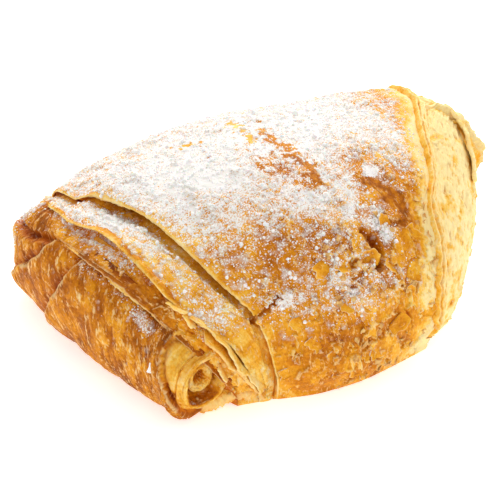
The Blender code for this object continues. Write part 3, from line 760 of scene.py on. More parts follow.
leaf_pieces = {}
for leaf, rows in leaf_rows.items():
    loops, x, girth, depth, lip, stand_off = leaf_surface(rows, girth_line)
    height, skin = loaf_skin(loops, x, girth, depth, lip, stand_off)
    height *= ramp(loops[..., 2], 0, 2)
    loops = loops + normals_of(loops) * height[..., None]
    loops[..., 2] = np.maximum(loops[..., 2], 0)
    grain = np.stack([girth * GIRTH_MM, x, 0 * x], axis=-1)
    leaf_pieces[leaf] = loft(leaf, loops, skin, grain, crust)
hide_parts("pastry")

# %% [markdown]
# ## The lower roll
#
# Below the folds the dough is rolled into a sausage that lies along the folded end. It is a loft along
# a curved axis whose loops stand square to it. Its layers were stretched round it, so its flecks run
# round it too. Towards its far end it is made of leaves that overlap like roof tiles, each with its free
# edge on a line across the roll. At its other end the outer layer stops at a lip, a paler layer comes out
# of it, and that one curls in on itself twice round a hollow.

# %% Roll along its axis
ROLL = [(-50.4, -34.5, 9.4, 20), (-51.3, -28, 10.9, 25), (-53, -18, 12.2, 28), (-55.1, -3, 12.8, 30),
        (-56.7, 14, 12.9, 31.2), (-57.4, 30, 12.8, 33), (-57.5, 36, 12.1, 32.7), (-57, 41, 9.5, 27.5)]
ROLL_LOW, ROLL_FLOOR, ROLL_END_BULGE = 0.42, 0.4, 4.0
ROLL_LENGTH, ROLL_ROUND = 77.0, 84.0
CURLED_END = [  # size of the loop, how far it stands back from the roll's end, how far it is lifted
    (0.05, 6.0, 3.4), (0.12, 5.6, 3.3), (0.17, 4.2, 3.2), (0.21, 2.4, 3.1), (0.26, 1.2, 3.1), (0.33, 0.6, 3.1),
    (0.4, 1.3, 3.0), (0.43, 3.4, 3.0), (0.45, 5.6, 3.0), (0.51, 5.6, 3.0), (0.54, 3.0, 3.0), (0.56, 0.4, 3.0),
    (0.62, -1.2, 2.9), (0.72, -2.0, 2.8), (0.79, -1.8, 2.8), (0.83, -0.2, 2.5), (0.86, 0.9, 2.3), (0.9, 0.5, 1.9),
    (0.94, 1.2, 1.5), (0.965, 2.6, 1.1), (0.975, 4.5, 0.8), (0.985, 7.5, 0.5), (1.0, 11.5, 0.1)]
ROLL_START = 11.5  # where the plain roll takes over, in millimetres along it
ROLL_TILES = [  # free edges of the overlapping leaves: share along the roll and degrees round it, then height
    ([(0.5, 85), (0.52, 111), (0.525, 130), (0.543, 151), (0.575, 173), (0.6, 190), (0.61, 225)], 1.3),
    ([(0.6, 85), (0.615, 120), (0.633, 140), (0.668, 158), (0.76, 174), (0.9, 187), (1.0, 192)], 1.5),
    ([(0.08, 85), (0.14, 110), (0.136, 130), (0.121, 145), (0.09, 161), (0.05, 173), (0.02, 184), (0.0, 215),
      (0.0, 240), (-0.06, 262)], -1.7)]
ROLL_CREASE = [(0.64, 122), (0.69, 133), (0.76, 135), (0.86, 134), (0.93, 130), (1.0, 118)]
ROLL_SUGAR = [(0.27, 120, 0.07, 14, 0.6), (0.95, 112, 0.16, 26, 0.75), (0.85, 150, 0.05, 9, 0.6),
              (0.5, 115, 0.05, 12, 0.3), (0.4, 112, 0.1, 8, 0.3)]


def roll_grid(knots, stations, points):
    """(loops, millimetres along the roll, turn) of a roll that lies along a curved axis. A knot holds the
    axis's x and y, the roll's half width and the height of its top. Its near end is curled."""
    share = np.linspace(0, 1, len(knots))
    axis_x, axis_y, half_width, top = (curve_through(list(zip(share, column))) for column in zip(*knots))
    even = np.linspace(0, 1, len(CURLED_END))
    end_size, end_back, end_lift = (curve_through(list(zip(even, column))) for column in zip(*CURLED_END))
    curled = np.linspace(0, 1, 110)[:-1]
    far_sizes = np.sin(np.linspace(0.08, 1.45, 14))[::-1]
    plain = np.linspace(ROLL_START / ROLL_LENGTH, 1, stations)
    at = np.concatenate([np.maximum(end_back(curled), 0) / ROLL_LENGTH, plain, 1 + 0 * far_sizes])
    beyond = np.concatenate([np.minimum(end_back(curled), 0), 0 * plain, ROLL_END_BULGE * np.sqrt(1 - far_sizes**2)])
    size = np.concatenate([end_size(curled), np.ones(stations), far_sizes])
    lift = np.concatenate([end_lift(curled), 0.1 * ramp(plain, 0.2, 0.15), 0 * far_sizes])
    middle = np.stack([axis_x(at), axis_y(at)], axis=1)
    along = unit(np.stack([axis_x(at + 0.01), axis_y(at + 0.01)], axis=1)
                 - np.stack([axis_x(at - 0.01), axis_y(at - 0.01)], axis=1))
    middle = middle + along * beyond[:, None]
    square = np.stack([along[:, 1], -along[:, 0]], axis=1)
    turn = np.linspace(0, 2 * np.pi, points, endpoint=False)[None, :]
    across = np.sign(np.cos(turn)) * np.abs(np.cos(turn)) ** (2 / TOP_EXPONENT)
    up = np.sign(np.sin(turn)) * np.abs(np.sin(turn)) ** (2 / TOP_EXPONENT)
    low = (ROLL_LOW * top(at))[:, None]
    height = np.where(up > 0, top(at)[:, None] - low, low - ROLL_FLOOR)
    loops = np.zeros((len(at), points, 3))
    half = (half_width(at) * size)[:, None, None]
    loops[..., :2] = middle[:, None] + square[:, None] * half * across[..., None]
    loops[..., 2] = low + height * up * size[:, None] + lift[:, None]
    place = at * ROLL_LENGTH + beyond
    shape = loops.shape[:2]
    return loops, *(np.broadcast_to(column[:, None], shape) for column in (place, size)), np.broadcast_to(turn, shape)


def roll_path(path):
    """A path of (share, degrees) in millimetres along and round the roll."""
    return [(share * ROLL_LENGTH, degrees * ROLL_ROUND / 360) for share, degrees in path]


loops, along_mm, size, turn = roll_grid(ROLL, 200, 250)
normals = normals_of(loops)
if np.sum(normals[150:] * (loops - loops.mean(axis=(0, 1)))[150:]) < 0:
    normals = -normals
degrees = np.degrees(turn)
round_mm = degrees * ROLL_ROUND / 360
inside = ramp(size, 0.95, 0.9) * (along_mm < ROLL_START)
warp = lumps(loops, 6.0, 2, 15.0)
slanted = along_mm + 0.35 * round_mm
flat = np.stack([slanted + 0.6 * warp, round_mm, 0 * turn], axis=-1)
streak = lumps(np.stack([slanted / 1.3 + 0.5 * warp, round_mm / 7, 0 * turn], axis=-1), 1.0, 3, 7.0)
large, large_rim = broken_layer(flat, np.array([2.6, 6.0, 6.0]), 4.0, 0.5)
small, small_rim = broken_layer(flat, np.array([1.3, 3.4, 3.4]), 31.0, 0.45)
strands = lumps(np.stack([size * 15 + 0.4 * warp, turn * 1.5, 0 * turn], axis=-1), 0.45, 3, 23.0)
height = 0.6 * lumps(loops, 16.0) + (0.12 * streak + 0.22 * large + 0.15 * small) * (1 - inside) + 0.3 * inside * strands
# Broken rims on the roll are paler, paler dough with a painted highlight, with a painted shadow just beside them
edge = (0.6 * large_rim + 0.45 * small_rim + 0.3 * streak) * (1 - inside)
edge = np.where(edge > 0, edge, 0.4 * edge) + 0.9 * inside * strands
shade = np.zeros_like(height)
outer = along_mm > 0
# Each tile's free edge is paler, paler dough with a painted highlight; on the lower side beside it, painted shadow
# (edge and shade) darkens the crust
for path, rise in ROLL_TILES:
    distance, side = beside_path(along_mm + 0.4 * warp, round_mm, roll_path(path))
    signed = distance * side * np.sign(rise)
    rise = abs(rise) * (1 - inside)
    height += rise * ramp(signed, -0.35, 0.35) * ramp(signed, 9, 1) - 0.5 * rise * ramp(distance, 1.6, 0.3) * (signed < 0)
    thin = ramp(distance + 0.5 * streak, 0.9, 0.2) * (1 - inside)
    edge = edge * (1 - thin) + thin * np.where(signed > 0, 0.75, -0.8)
    shade = np.maximum(shade, 0.75 * ramp(distance, 4.0, 0.0) * (signed < 0) * (1 - inside))
# Painted shade: in the crease, and on the roll's top where it runs under the fold lip
distance, side = beside_path(along_mm, round_mm, roll_path(ROLL_CREASE))
height += 1.1 * ramp(distance, 7, 1.5) * (side > 0) - 2.0 * ramp(distance, 1.6, 0.4)
shade = np.maximum(shade, ramp(distance, 2.2, 0.4))
shade = np.maximum(shade, 0.55 * ramp(degrees, 112, 92) * ramp(degrees, 40, 80) * (1 - inside))
facing = normals[..., 2]
sugar = patches(along_mm / ROLL_LENGTH + 0.02 * warp, degrees + 5 * np.roll(warp, 9, axis=0), ROLL_SUGAR)
loops = loops + normals * (height * ramp(loops[..., 2], 0, 3))[..., None]
loops[..., 2] = np.maximum(loops[..., 2], 0)
curl_lip = ramp(size, 0.53, 0.57) * ramp(size, 0.74, 0.66) * inside
bake = 0.74 + 0.12 * lumps(loops, 10.0, 2, 3.0) - 0.14 * large - 0.08 * streak + 0.06 * ramp(facing, -0.2, -0.9)
groove = ramp(size, 0.87, 0.9) * ramp(size, 0.95, 0.92) * (along_mm < ROLL_START)
bake = bake * (1 - inside) + 0.26 * inside
crack_at = curve_through([(0, 10), (70, 11), (110, 11.4), (130, 10.6), (145, 9.4), (161, 7), (173, 1.2), (184, -1.6),
                          (230, -2), (320, -2), (360, 0)])(degrees)
pale = ramp(along_mm - crack_at, 0.3, -0.7)
rope = lumps(np.stack([along_mm / 0.9 + 0.4 * warp, round_mm / 9, 0 * turn], axis=-1), 1.0, 3, 27.0)
bake = bake * (1 - pale) + (0.24 + 0.1 * warp) * pale
bake -= 0.14 * ramp(along_mm / ROLL_LENGTH, 0.68, 0.9)
edge = edge * (1 - pale) + (0.8 * rope + 0.6 * inside * strands) * pale
lip_bake = 0.3 + 0.5 * ramp(degrees, 150, 210) * ramp(degrees, 330, 290)
bake = bake * (1 - curl_lip) + (lip_bake + 0.06 * warp) * curl_lip
# Painted shade: the curl darkens deeper into its hollow and in its groove, in bake and again through depth
bake = np.where(size < 0.5, 0.2 + 0.1 * warp + 0.4 * ramp(along_mm, 1.5, 4), bake + 0.3 * groove)
hollow = 0.4 * inside * np.maximum(ramp(along_mm, 1.5, 4.5), ramp(size, 0.24, 0.14)) + 0.5 * groove
skin = {"bake": bake, "sugar": np.clip(sugar, 0, 1), "edge": np.clip(edge, -1, 1),
        "depth": np.clip(np.maximum(shade, hollow), 0, 1), "flecks": 1.2 - 1.1 * np.maximum(inside, pale), "loose": 0 * bake}
grain = np.stack([round_mm, slanted, 0 * turn], axis=-1)
lower_roll = loft("lower_roll", loops, skin, grain, crust)

# %% [markdown]
# ## Loose leaves
#
# Everywhere a leaf ends, single layers stand free of it. Each is a strip of dough about half a
# millimetre thick between two paths: its free edge, which is rounded, and its root, which stays buried
# in the leaf it belongs to. A path's points are places on the loaf or plain millimetres.

# %% A leaf between its free edge and its root
EDGE_STEPS = np.array([0.0, 0.02, 0.06, 0.13, 0.25, 0.4, 0.55, 0.7, 0.85, 1.0])


def through(points, count):
    """A smooth path of this many points through a few."""
    share = np.linspace(0, 1, len(points))
    columns = [curve_through(list(zip(share, column))) for column in zip(*points)]
    at = np.linspace(0, 1, count)
    return np.stack([column(at) for column in columns], axis=-1)


def leaf_between(name, edge, root, thickness, bake, flecks=0.6, ragged=0.3, bow=0.0, sugar=0.0, deep=0.6, seed=0.0):
    """A closed thin leaf that hangs between two paths of as many points."""
    count = len(edge)
    ends = np.minimum(1, np.sin(np.linspace(0.05, np.pi - 0.05, count)) * 6)[:, None]
    shred = lumps(edge, 2.2, 3, seed + 50)[:, None] * ragged
    outward = unit(edge - root)
    edge = root + (edge - root) * ends + outward * shred * ends
    reach = root - edge
    normal = unit(np.cross(reach, np.gradient(edge, axis=0)))
    length = np.linalg.norm(reach, axis=1, keepdims=True)
    half = thickness / 2 * ends
    rounded = np.sqrt(1 - (1 - np.minimum(EDGE_STEPS * length / np.maximum(half, 0.05), 1)) ** 2)
    steps = np.concatenate([EDGE_STEPS[::-1], EDGE_STEPS[1:]])
    side = np.concatenate([np.ones(len(EDGE_STEPS)), -np.ones(len(EDGE_STEPS) - 1)])
    swell = np.concatenate([rounded[:, ::-1], rounded[:, 1:]], axis=1)
    loops = edge[:, None] + reach[:, None] * steps[:, None]
    loops += normal[:, None] * (side * swell * half)[..., None]
    loops += normal[:, None] * (bow * np.sin(np.pi * steps))[:, None]
    wave = lumps(loops, 3.5, 2, seed)
    loops += normal[:, None] * (0.35 * ragged * wave * (1 - steps))[..., None]
    loops += 0.5 * thickness * np.minimum(0.4, thickness) * normal[:, None] * lumps(loops, 1.0, 2, seed + 9)[..., None]
    loops[..., 2] = np.maximum(loops[..., 2], 0)
    at = np.cumsum(np.linalg.norm(np.diff(edge, axis=0, prepend=edge[:1]), axis=1))
    across = steps * length
    grain = np.stack([np.broadcast_to(at[:, None], across.shape), across, 0 * across], axis=-1)
    # Painted shade: each leaf darkens towards its buried root, by deep through depth and a little in bake; its free
    # edge is paler, thinner dough with a painted highlight
    skin = {"bake": bake + 0.08 * wave + 0.1 * steps, "sugar": sugar * (side > 0) * np.ones_like(across),
            "edge": ramp(steps, 0.12, 0.0) * np.ones_like(across) * 0.7, "flecks": flecks,
            "depth": deep * ramp(steps, 0.15, 1.0) * np.ones_like(across)}
    return loft(name, loops, skin, grain, crust)


def along_loaf(knots, count):
    """A path over the loaf from knots of (girth, x, stand-off)."""
    knots = sorted(knots)
    girth = np.linspace(knots[0][0], knots[-1][0], count)
    x, stand_off = (curve_through([(knot[0], knot[i]) for knot in knots])(girth) for i in (1, 2))
    return off_loaf(x, girth, stand_off)


# %% The pale layer that hangs from the middle fold's lip
LOOSE = [(0.05, 0.5, -2.4), (0.13, 0.6, -2.6), (0.2, 0.8, -2.8), (0.28, 1.1, -3.2), (0.34, 1.8, -4.4), (0.4, 2.2, -5.2),
         (0.46, 1.4, -4.0), (0.5, 0.6, -2.8)]
edge_knots = [(g, float(fold_lip(g)) - out - 0.8, drop) for g, out, drop in LOOSE]
root_knots = [(g, float(fold_lip(g)) + 5.0, -2.2) for g, out, drop in LOOSE]
leaf_between("fold_lip_layer", along_loaf(edge_knots, 260), along_loaf(root_knots, 260), 0.55, 0.2, ragged=0.6, seed=2.0)
edge_knots = [(g, float(fold_lip(g)) - 0.3 * out - 1.1, -0.35 - 0.1 * out) for g, out, drop in LOOSE]
root_knots = [(g, float(fold_lip(g)) + 1.6, -1.3) for g, out, drop in LOOSE]
leaf_between("fold_lip_skin", along_loaf(edge_knots, 260), along_loaf(root_knots, 260), 0.5, 0.75, ragged=0.4, seed=7.0)

# %% Shreds that stand up along the lower band
SHREDS = [  # x, girth and stand-off of each point, then the height of its free edge
    ([(-53.6, 0.262, 0.3), (-52.2, 0.243, 0.6), (-50.5, 0.228, 0.3)], 1.2),
    ([(-50, 0.222, 0.3), (-48.6, 0.208, 0.6), (-46.8, 0.186, 0.5), (-45.6, 0.168, 0.3)], 0.9),
    ([(-46.2, 0.178, 0.4), (-44.4, 0.155, 0.9), (-42.7, 0.126, 1.0), (-41.2, 0.104, 0.8), (-39.6, 0.083, 0.4)], 1.6),
    ([(-41.6, 0.11, 0.4), (-39.4, 0.086, 0.8), (-37.6, 0.066, 0.9), (-35.4, 0.046, 0.5)], 1.4),
    ([(-47.0, 0.12, 0.2), (-46.2, 0.1, 0.5), (-45.4, 0.085, 0.3)], 1.3),
    ([(-51.5, 0.23, 0.2), (-50.8, 0.215, 0.5), (-50.4, 0.2, 0.3)], 1.1)]
for number, (places, tall) in enumerate(SHREDS):
    x, girth, stand_off = through(places, 60).T
    edge = off_loaf(x - 0.7, girth, stand_off + tall)
    root = off_loaf(x + 0.6, girth, stand_off - 1.0)
    leaf_between("band_shred_%d" % (number + 1), edge, root, 0.5, 0.12, ragged=0.9, deep=0.1, seed=14.0 + number)

# %% Plates of crust that have lifted on the dome
FLAKES = [  # x, girth, heading from root to free edge in degrees, width, length, how far the edge lifts
    (-13.8, 0.238, 205, 4.5, 6.0, 1.0), (-9.6, 0.236, 250, 5.0, 4.0, 0.7), (-1.9, 0.215, 70, 6.5, 5.0, 1.1),
    (6.6, 0.205, 200, 6.0, 5.0, 1.0), (9.5, 0.186, 330, 6.0, 6.0, 0.8), (4.0, 0.172, 240, 5.0, 4.0, 0.6),
    (6.6, 0.14, 20, 6.0, 5.0, 0.7), (2.6, 0.112, 300, 7.5, 5.5, 0.9), (-5.0, 0.16, 230, 4.5, 4.0, 0.6),
    (-24.5, 0.157, 190, 5.0, 4.0, 0.4), (-20.6, 0.122, 210, 5.5, 5.0, 0.5), (-15.5, 0.06, 200, 5.0, 4.0, 0.5),
    (-7.0, 0.078, 240, 3.0, 4.5, 0.6), (-4.5, 0.076, 240, 2.6, 4.5, 0.7), (-9.6, 0.042, 215, 4.0, 4.0, 0.6),
    (-16.4, 0.085, 170, 4.0, 4.0, 0.5), (-24.0, 0.1, 200, 4.0, 5.0, 0.4), (12.0, 0.235, 20, 5.0, 6.0, 0.6),
    (14.5, 0.15, 350, 4.0, 6.0, 0.5), (-12.0, 0.17, 260, 4.0, 3.5, 0.5), (13.0, 0.1, 0, 4.5, 5.0, 0.5),
    (8.0, 0.262, 110, 4.0, 4.5, 0.8), (-2.5, 0.247, 150, 4.0, 4.0, 0.7), (-28.0, 0.07, 190, 4.0, 5.0, 0.4)]
for number, (x, girth, heading, width, length, lift) in enumerate(FLAKES):
    ahead = np.array([np.cos(np.radians(heading)), np.sin(np.radians(heading))])
    aside = np.array([-ahead[1], ahead[0]])
    t = np.linspace(-0.5, 0.5, 40)[:, None]
    jag = 0.09 * np.sin(6 * t + number) + 0.04 * np.sin(15 * t + 2 * number) - 1.1 * np.abs(t) ** 3
    root = np.array([x, girth * GIRTH_MM]) + aside * t * width * 0.8
    edge = np.array([x, girth * GIRTH_MM]) + aside * t * width + ahead * length * (0.75 + jag)
    edge_points = off_loaf(edge[:, 0], edge[:, 1] / GIRTH_MM, 0.5 * lift - 0.1 + 0.2 * np.sin(5 * t[:, 0] + number))
    root_points = off_loaf(root[:, 0], root[:, 1] / GIRTH_MM, -SKIN_BELOW + 0 * t[:, 0])
    leaf_between("lifted_flake_%d" % (number + 1), edge_points, root_points, 0.35, 0.38, ragged=0.3, bow=0.3, sugar=0.6,
                 deep=0.0, seed=100.0 + 3 * number)

# %% Layers seen edge on beside the sealed edge
SEAM_LAYERS = [(-1.6, 0.7, 0.22, 21.0), (0.3, 0.3, 0.12, 23.0), (1.6, -0.5, 0.06, 27.0), (3.0, -1.1, 0.1, 29.0)]
for number, (beyond, stand_off, bake, seed) in enumerate(SEAM_LAYERS):
    girth = np.linspace(0.03, 0.62, 330)
    wander = 0.7 * lumps(np.stack([girth * 40, 0 * girth, 0 * girth + number * 3], axis=-1), 1.0, 3, 33.0)
    x = sealed_edge(girth) + beyond + wander
    edge = off_loaf(x + 0.5, girth, stand_off + 0.5 + 0 * girth)
    root = off_loaf(x - 0.8, girth, stand_off - 2.6 + 0 * girth)
    leaf_between("seam_layer_%d" % (number + 1), edge, root, 0.75, bake, ragged=0.35, deep=0.3, seed=seed)

# %% The ragged seam on the sealed end
RIM = [(53, 1, 45.5), (58, 0, 44.7), (62.5, -2, 41.7), (66.2, -4, 37.7), (68.2, -6, 33), (70, -8, 27.6),
       (66, -9, 21.7)]
RIM_ROOT, RIM_RUFFLE, RIM_WAVES = 10.0, 1.2, 2.5
rim_edge = through(RIM, 220)
share_along = np.linspace(0, 1, 220)
ruffle = RIM_RUFFLE * np.sin(share_along * RIM_WAVES * 2 * np.pi)
rim_root = rim_edge * [1, 1, 0.86] + [-RIM_ROOT, 0, 0]
rim_edge[:, 1] += ruffle
rim_root[:, 1] -= ruffle * 0.8
# The seam's rim is pale dough, its bake set below the palest stop as painted light on a face that lies in shade
leaf_between("seam_rim", rim_edge, rim_root, 3.0, -0.04, ragged=1.2, deep=0.0, seed=41.0)
for number, (shift_y, back) in enumerate(((-2.0, 2.4), (1.9, 1.8))):
    side_edge = rim_edge + [-back, shift_y, -0.4 * back]
    leaf_between("seam_rim_layer_%d" % (number + 1), side_edge, rim_root + [0, shift_y * 0.4, 0], 0.8, 0.2,
                 ragged=1.3, deep=0.1, seed=45.0 + number)

rim_fold = [(0.235, 52.6, 0.6), (0.258, 53.4, 1.0), (0.289, 55.0, 1.4), (0.327, 56.6, 1.1), (0.365, 58.0, 1.5),
            (0.403, 58.4, 1.1), (0.434, 58.0, 1.4), (0.47, 59.3, 0.8)]
fold_root_line = [(girth, x + 4.0, 0.2) for girth, x, _ in rim_fold]
# Its bake sits near the palest stop: painted light on a face that lies in shade
leaf_between("seam_rim_fold", along_loaf(rim_fold, 200), along_loaf(fold_root_line, 200), 1.2, 0.02, ragged=0.9, bow=0.3,
             deep=0.0, seed=51.0)

# %% A flat chip of sugar on the roll
chip_edge = through([(-63.1, -27.8, 16.0), (-62.5, -28.2, 17.7), (-62.0, -28.1, 19.1)], 40)
chip_root = chip_edge + [0.7, -1.4, 0.0]
chip_edge = chip_edge + [-0.5, -0.2, 0.2]
leaf_between("sugar_chip", chip_edge, chip_root, 0.5, 0.0, ragged=0.25, sugar=1.5, deep=0.0, seed=59.0)

# %% The edge of the leaf that wraps under the folds at the curled end
WRAP = [(-50.5, -35.2, 25.5), (-48.3, -37.4, 23.2), (-46.2, -39.2, 19.6), (-44.6, -40.3, 16.6), (-42.6, -41.0, 14.8),
        (-40.4, -41.8, 11.0), (-37.8, -42.6, 6.4), (-35.5, -42.8, 2.6)]
edge = through(WRAP, 150)
leaf_between("wrapping_leaf", edge, edge + [4.5, 6.5, 1.5], 0.8, 0.3, ragged=0.5, deep=0.3, seed=63.0)
BELOW = [(-51.5, -35.6, 3.0), (-48.6, -36.2, 3.0), (-45.6, -36.8, 3.6), (-42.6, -37.4, 4.4), (-39.8, -38.4, 4.4),
         (-37.6, -39.4, 3.4)]
edge = through(BELOW, 120)
leaf_between("leaf_below_curl", edge, edge + [0.5, 8.0, -1.0], 5.0, 0.3, ragged=0.6, deep=0.2, seed=67.0)

# %% [markdown]
# ## Icing sugar and loose flakes
#
# Grains, crumbs of clumped sugar and larger lumps are real pieces here, as they catch the light one by
# one. Geometry Nodes scatters each kind over the leaves: it reads the same sugar attribute that the crust
# shows, so that the grains lie where the dust is thick. The last step bends every copy by noise, so that
# no two are alike. Loose flakes of crust are scattered the same way where the dome has peeled.

# %% Materials of the sugar and the flakes
def grainy_material(name, size, light, dark, roughness, glow):
    """A powdery or flaky stuff that varies between two colours."""
    material, tree, shader = new_material(name, roughness, 1.5)
    here = add_node(tree, "ShaderNodeTexCoord").outputs["Object"]
    speckle = add_node(tree, "ShaderNodeTexNoise", [("Scale", 1 / (size * MM)), ("Detail", 3.0)], Vector=here)
    shades = add_node(tree, "ShaderNodeValToRGB", Fac=speckle.outputs["Fac"])
    for stop, place, code in zip(shades.color_ramp.elements, (0.35, 0.65), (dark, light)):
        stop.position = place
        stop.color = colour(code)
    tree.links.new(shades.outputs["Color"], shader.inputs["Base Color"])
    shader.inputs["Subsurface Weight"].default_value = glow
    shader.inputs["Subsurface Scale"].default_value = 0.6 * MM
    shader.inputs["Specular IOR Level"].default_value = 0.2
    return material


icing_sugar = grainy_material("icing_sugar", 0.8, "#FFFFFF", "#EEEBE7", 0.85, 0.2)
thin_flakes = grainy_material("thin_pastry_flakes", 1.6, "#F3CB84", "#CB8C3C", 0.5, 0.15)


# %% A tree that scatters copies of one shape
def scatter_tree(name, shape, material, attribute, least, most, bend):
    """Scatters copies of a mesh object over the host, most where the attribute is highest. Its inputs are
    the number per square metre, the seed, and the smallest and largest size."""
    tree = bpy.data.node_groups.new(name, "GeometryNodeTree")
    face = tree.interface
    face.new_socket("Geometry", in_out="INPUT", socket_type="NodeSocketGeometry")
    for label, kind in (("Per square metre", "Float"), ("Seed", "Int"), ("Smallest", "Float"), ("Largest", "Float"),
                        ("Tilt", "Float")):
        face.new_socket(label, in_out="INPUT", socket_type="NodeSocket" + kind)
    face.new_socket("Geometry", in_out="OUTPUT", socket_type="NodeSocketGeometry")
    given, result = tree.nodes.new("NodeGroupInput"), tree.nodes.new("NodeGroupOutput")
    amount = add_node(tree, "GeometryNodeInputNamedAttribute", [("data_type", "FLOAT"), ("Name", attribute)])
    share = add_node(tree, "ShaderNodeMapRange", [("From Min", least), ("From Max", most)],
                     Value=amount.outputs["Attribute"])
    density = add_node(tree, "ShaderNodeMath", [("operation", "MULTIPLY")], _0=share.outputs["Result"],
                       _1=given.outputs["Per square metre"])
    points = add_node(tree, "GeometryNodeDistributePointsOnFaces", [("distribute_method", "RANDOM")],
                      Mesh=given.outputs["Geometry"], Density=density.outputs[0], Seed=given.outputs["Seed"])
    copy = add_node(tree, "GeometryNodeObjectInfo", [("transform_space", "ORIGINAL"), ("Object", shape)])
    spin = add_node(tree, "FunctionNodeRandomValue", [("data_type", "FLOAT_VECTOR")], Seed=given.outputs["Seed"])
    tilt = add_node(tree, "ShaderNodeCombineXYZ", X=given.outputs["Tilt"], Y=given.outputs["Tilt"])
    tilt.inputs["Z"].default_value = np.pi
    back = add_node(tree, "ShaderNodeVectorMath", [("operation", "SCALE"), ("Scale", -1.0)], _0=tilt.outputs[0])
    tree.links.new(back.outputs[0], spin.inputs[0])
    tree.links.new(tilt.outputs[0], spin.inputs[1])
    turned = add_node(tree, "FunctionNodeRotateRotation", [("rotation_space", "LOCAL")],
                      Rotation=points.outputs["Rotation"], Rotate_By=spin.outputs[0])
    size = add_node(tree, "FunctionNodeRandomValue", [("data_type", "FLOAT")], Seed=given.outputs["Seed"])
    tree.links.new(given.outputs["Smallest"], size.inputs[2])
    tree.links.new(given.outputs["Largest"], size.inputs[3])
    copies = add_node(tree, "GeometryNodeInstanceOnPoints", Points=points.outputs["Points"],
                      Instance=copy.outputs["Geometry"], Rotation=turned.outputs[0], Scale=size.outputs[1])
    real = add_node(tree, "GeometryNodeRealizeInstances", Geometry=copies.outputs[0])
    wobble = add_node(tree, "ShaderNodeTexNoise", [("Scale", 1 / (bend * MM)), ("Detail", 2.0)])
    centred = add_node(tree, "ShaderNodeVectorMath", [("operation", "SUBTRACT")], _0=wobble.outputs["Color"])
    centred.inputs[1].default_value = (0.5, 0.5, 0.5)
    offset = add_node(tree, "ShaderNodeVectorMath", [("operation", "SCALE"), ("Scale", 0.7 * bend * MM)],
                      _0=centred.outputs[0])
    bent = add_node(tree, "GeometryNodeSetPosition", Geometry=real.outputs[0], Offset=offset.outputs[0])
    dressed = add_node(tree, "GeometryNodeSetMaterial", [("Material", material)], Geometry=bent.outputs[0])
    tree.links.new(dressed.outputs[0], result.inputs[0])
    return tree


def scatter(name, hosts, tree, settings):
    """One plain mesh of everything the tree scatters over the hosts."""
    joined = bmesh.new()
    for host in hosts:
        joined.from_mesh(host.data)
    mesh = bpy.data.meshes.new(name + "_host")
    joined.to_mesh(mesh)
    joined.free()
    host = link(bpy.data.objects.new(name + "_host", mesh))
    modifier = host.modifiers.new("scatter", "NODES")
    modifier.node_group = tree
    sockets = {item.name: item.identifier for item in tree.interface.items_tree if item.in_out == "INPUT"}
    for label, value in settings.items():
        modifier[sockets[label]] = value
    seen = host.evaluated_get(bpy.context.evaluated_depsgraph_get())
    result = bpy.data.meshes.new_from_object(seen)
    bpy.data.objects.remove(host)
    points = np.empty(3 * len(result.vertices), np.float32)
    result.vertices.foreach_get("co", points)
    points[2::3] = np.maximum(points[2::3], 0)
    result.vertices.foreach_set("co", points)
    result.shade_smooth()
    obj = link(bpy.data.objects.new(name, result))
    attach(obj, "root")
    result.calc_loop_triangles()
    print(name, len(result.loop_triangles), "triangles")
    return obj


def rounded_crumb(name, subdivisions):
    """A crumb of sugar one unit across, kept out of the scene."""
    mesh = bpy.data.meshes.new(name)
    shape = bmesh.new()
    bmesh.ops.create_icosphere(shape, subdivisions=subdivisions, radius=0.5)
    shape.to_mesh(mesh)
    shape.free()
    return bpy.data.objects.new(name, mesh)


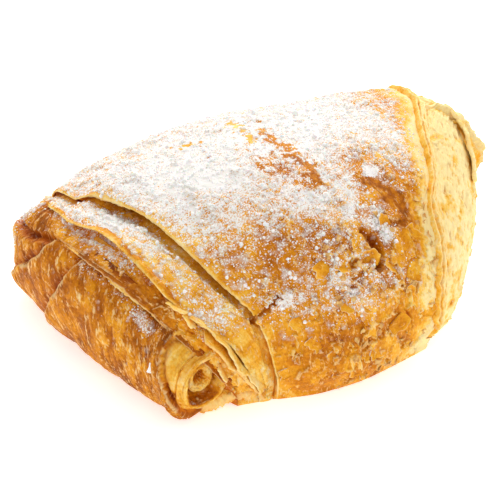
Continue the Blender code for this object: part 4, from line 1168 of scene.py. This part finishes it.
def thin_plate(name, across, rows):
    """A flake one unit across and a twentieth thick, with an uneven outline and a slight curl."""
    angle = np.linspace(0, 2 * np.pi, across, endpoint=False)
    outline = 0.36 + 0.1 * np.cos(3 * angle + 1) + 0.06 * np.cos(5 * angle) + 0.05 * np.cos(8 * angle + 2)
    sizes = np.linspace(0.05, 1, rows)
    sides = [(size, 0.025) for size in sizes] + [(1.03, 0.0)] + [(size, -0.025) for size in sizes[::-1]]
    points, faces = [], []
    for size, thick in sides:
        x, y = size * outline * np.cos(angle), size * outline * np.sin(angle)
        points += zip(x, y, 0.1 + thick + 0.5 * x * x - 0.25 * x * y)
    for row in range(len(sides) - 1):
        for column in range(across):
            following = (column + 1) % across
            faces.append((row * across + column, (row + 1) * across + column, (row + 1) * across + following,
                          row * across + following))
    faces += [tuple(range(across)), tuple(range((len(sides) - 1) * across, len(sides) * across))[::-1]]
    mesh = bpy.data.meshes.new(name)
    mesh.from_pydata([tuple(map(float, point)) for point in points], [], faces)
    return bpy.data.objects.new(name, mesh)


sugared = [leaf_pieces["folded_layers"], leaf_pieces["top_leaf"], lower_roll]
grain_tree = scatter_tree("scatter_grains", rounded_crumb("grain_shape", 1), icing_sugar, "sugar", 0.12, 0.75, 0.3)
scatter("sugar_grains", sugared, grain_tree, {"Per square metre": 8.4e5, "Seed": 3, "Smallest": 0.25 * MM,
                                              "Largest": 0.6 * MM, "Tilt": 1.5})
crumb_tree = scatter_tree("scatter_crumbs", rounded_crumb("crumb_shape", 2), icing_sugar, "sugar", 0.25, 0.9, 0.6)
scatter("sugar_crumbs", sugared, crumb_tree, {"Per square metre": 1.5e5, "Seed": 5, "Smallest": 0.5 * MM,
                                              "Largest": 1.2 * MM, "Tilt": 1.5})

lump_tree = scatter_tree("scatter_lumps", rounded_crumb("lump_shape", 3), icing_sugar, "sugar", 0.45, 0.9, 0.3)
scatter("sugar_lumps", sugared, lump_tree, {"Per square metre": 6e3, "Seed": 11, "Smallest": 1.0 * MM,
                                           "Largest": 2.0 * MM, "Tilt": 0.3})
flake_tree = scatter_tree("scatter_flakes", thin_plate("flake_shape", 10, 3), thin_flakes, "loose", 0.3, 1.0, 1.5)
scatter("loose_flakes", [leaf_pieces["top_leaf"]], flake_tree, {"Per square metre": 3.5e4, "Seed": 8, "Smallest": 1.0 * MM,
                                                                "Largest": 3.0 * MM, "Tilt": 0.5})
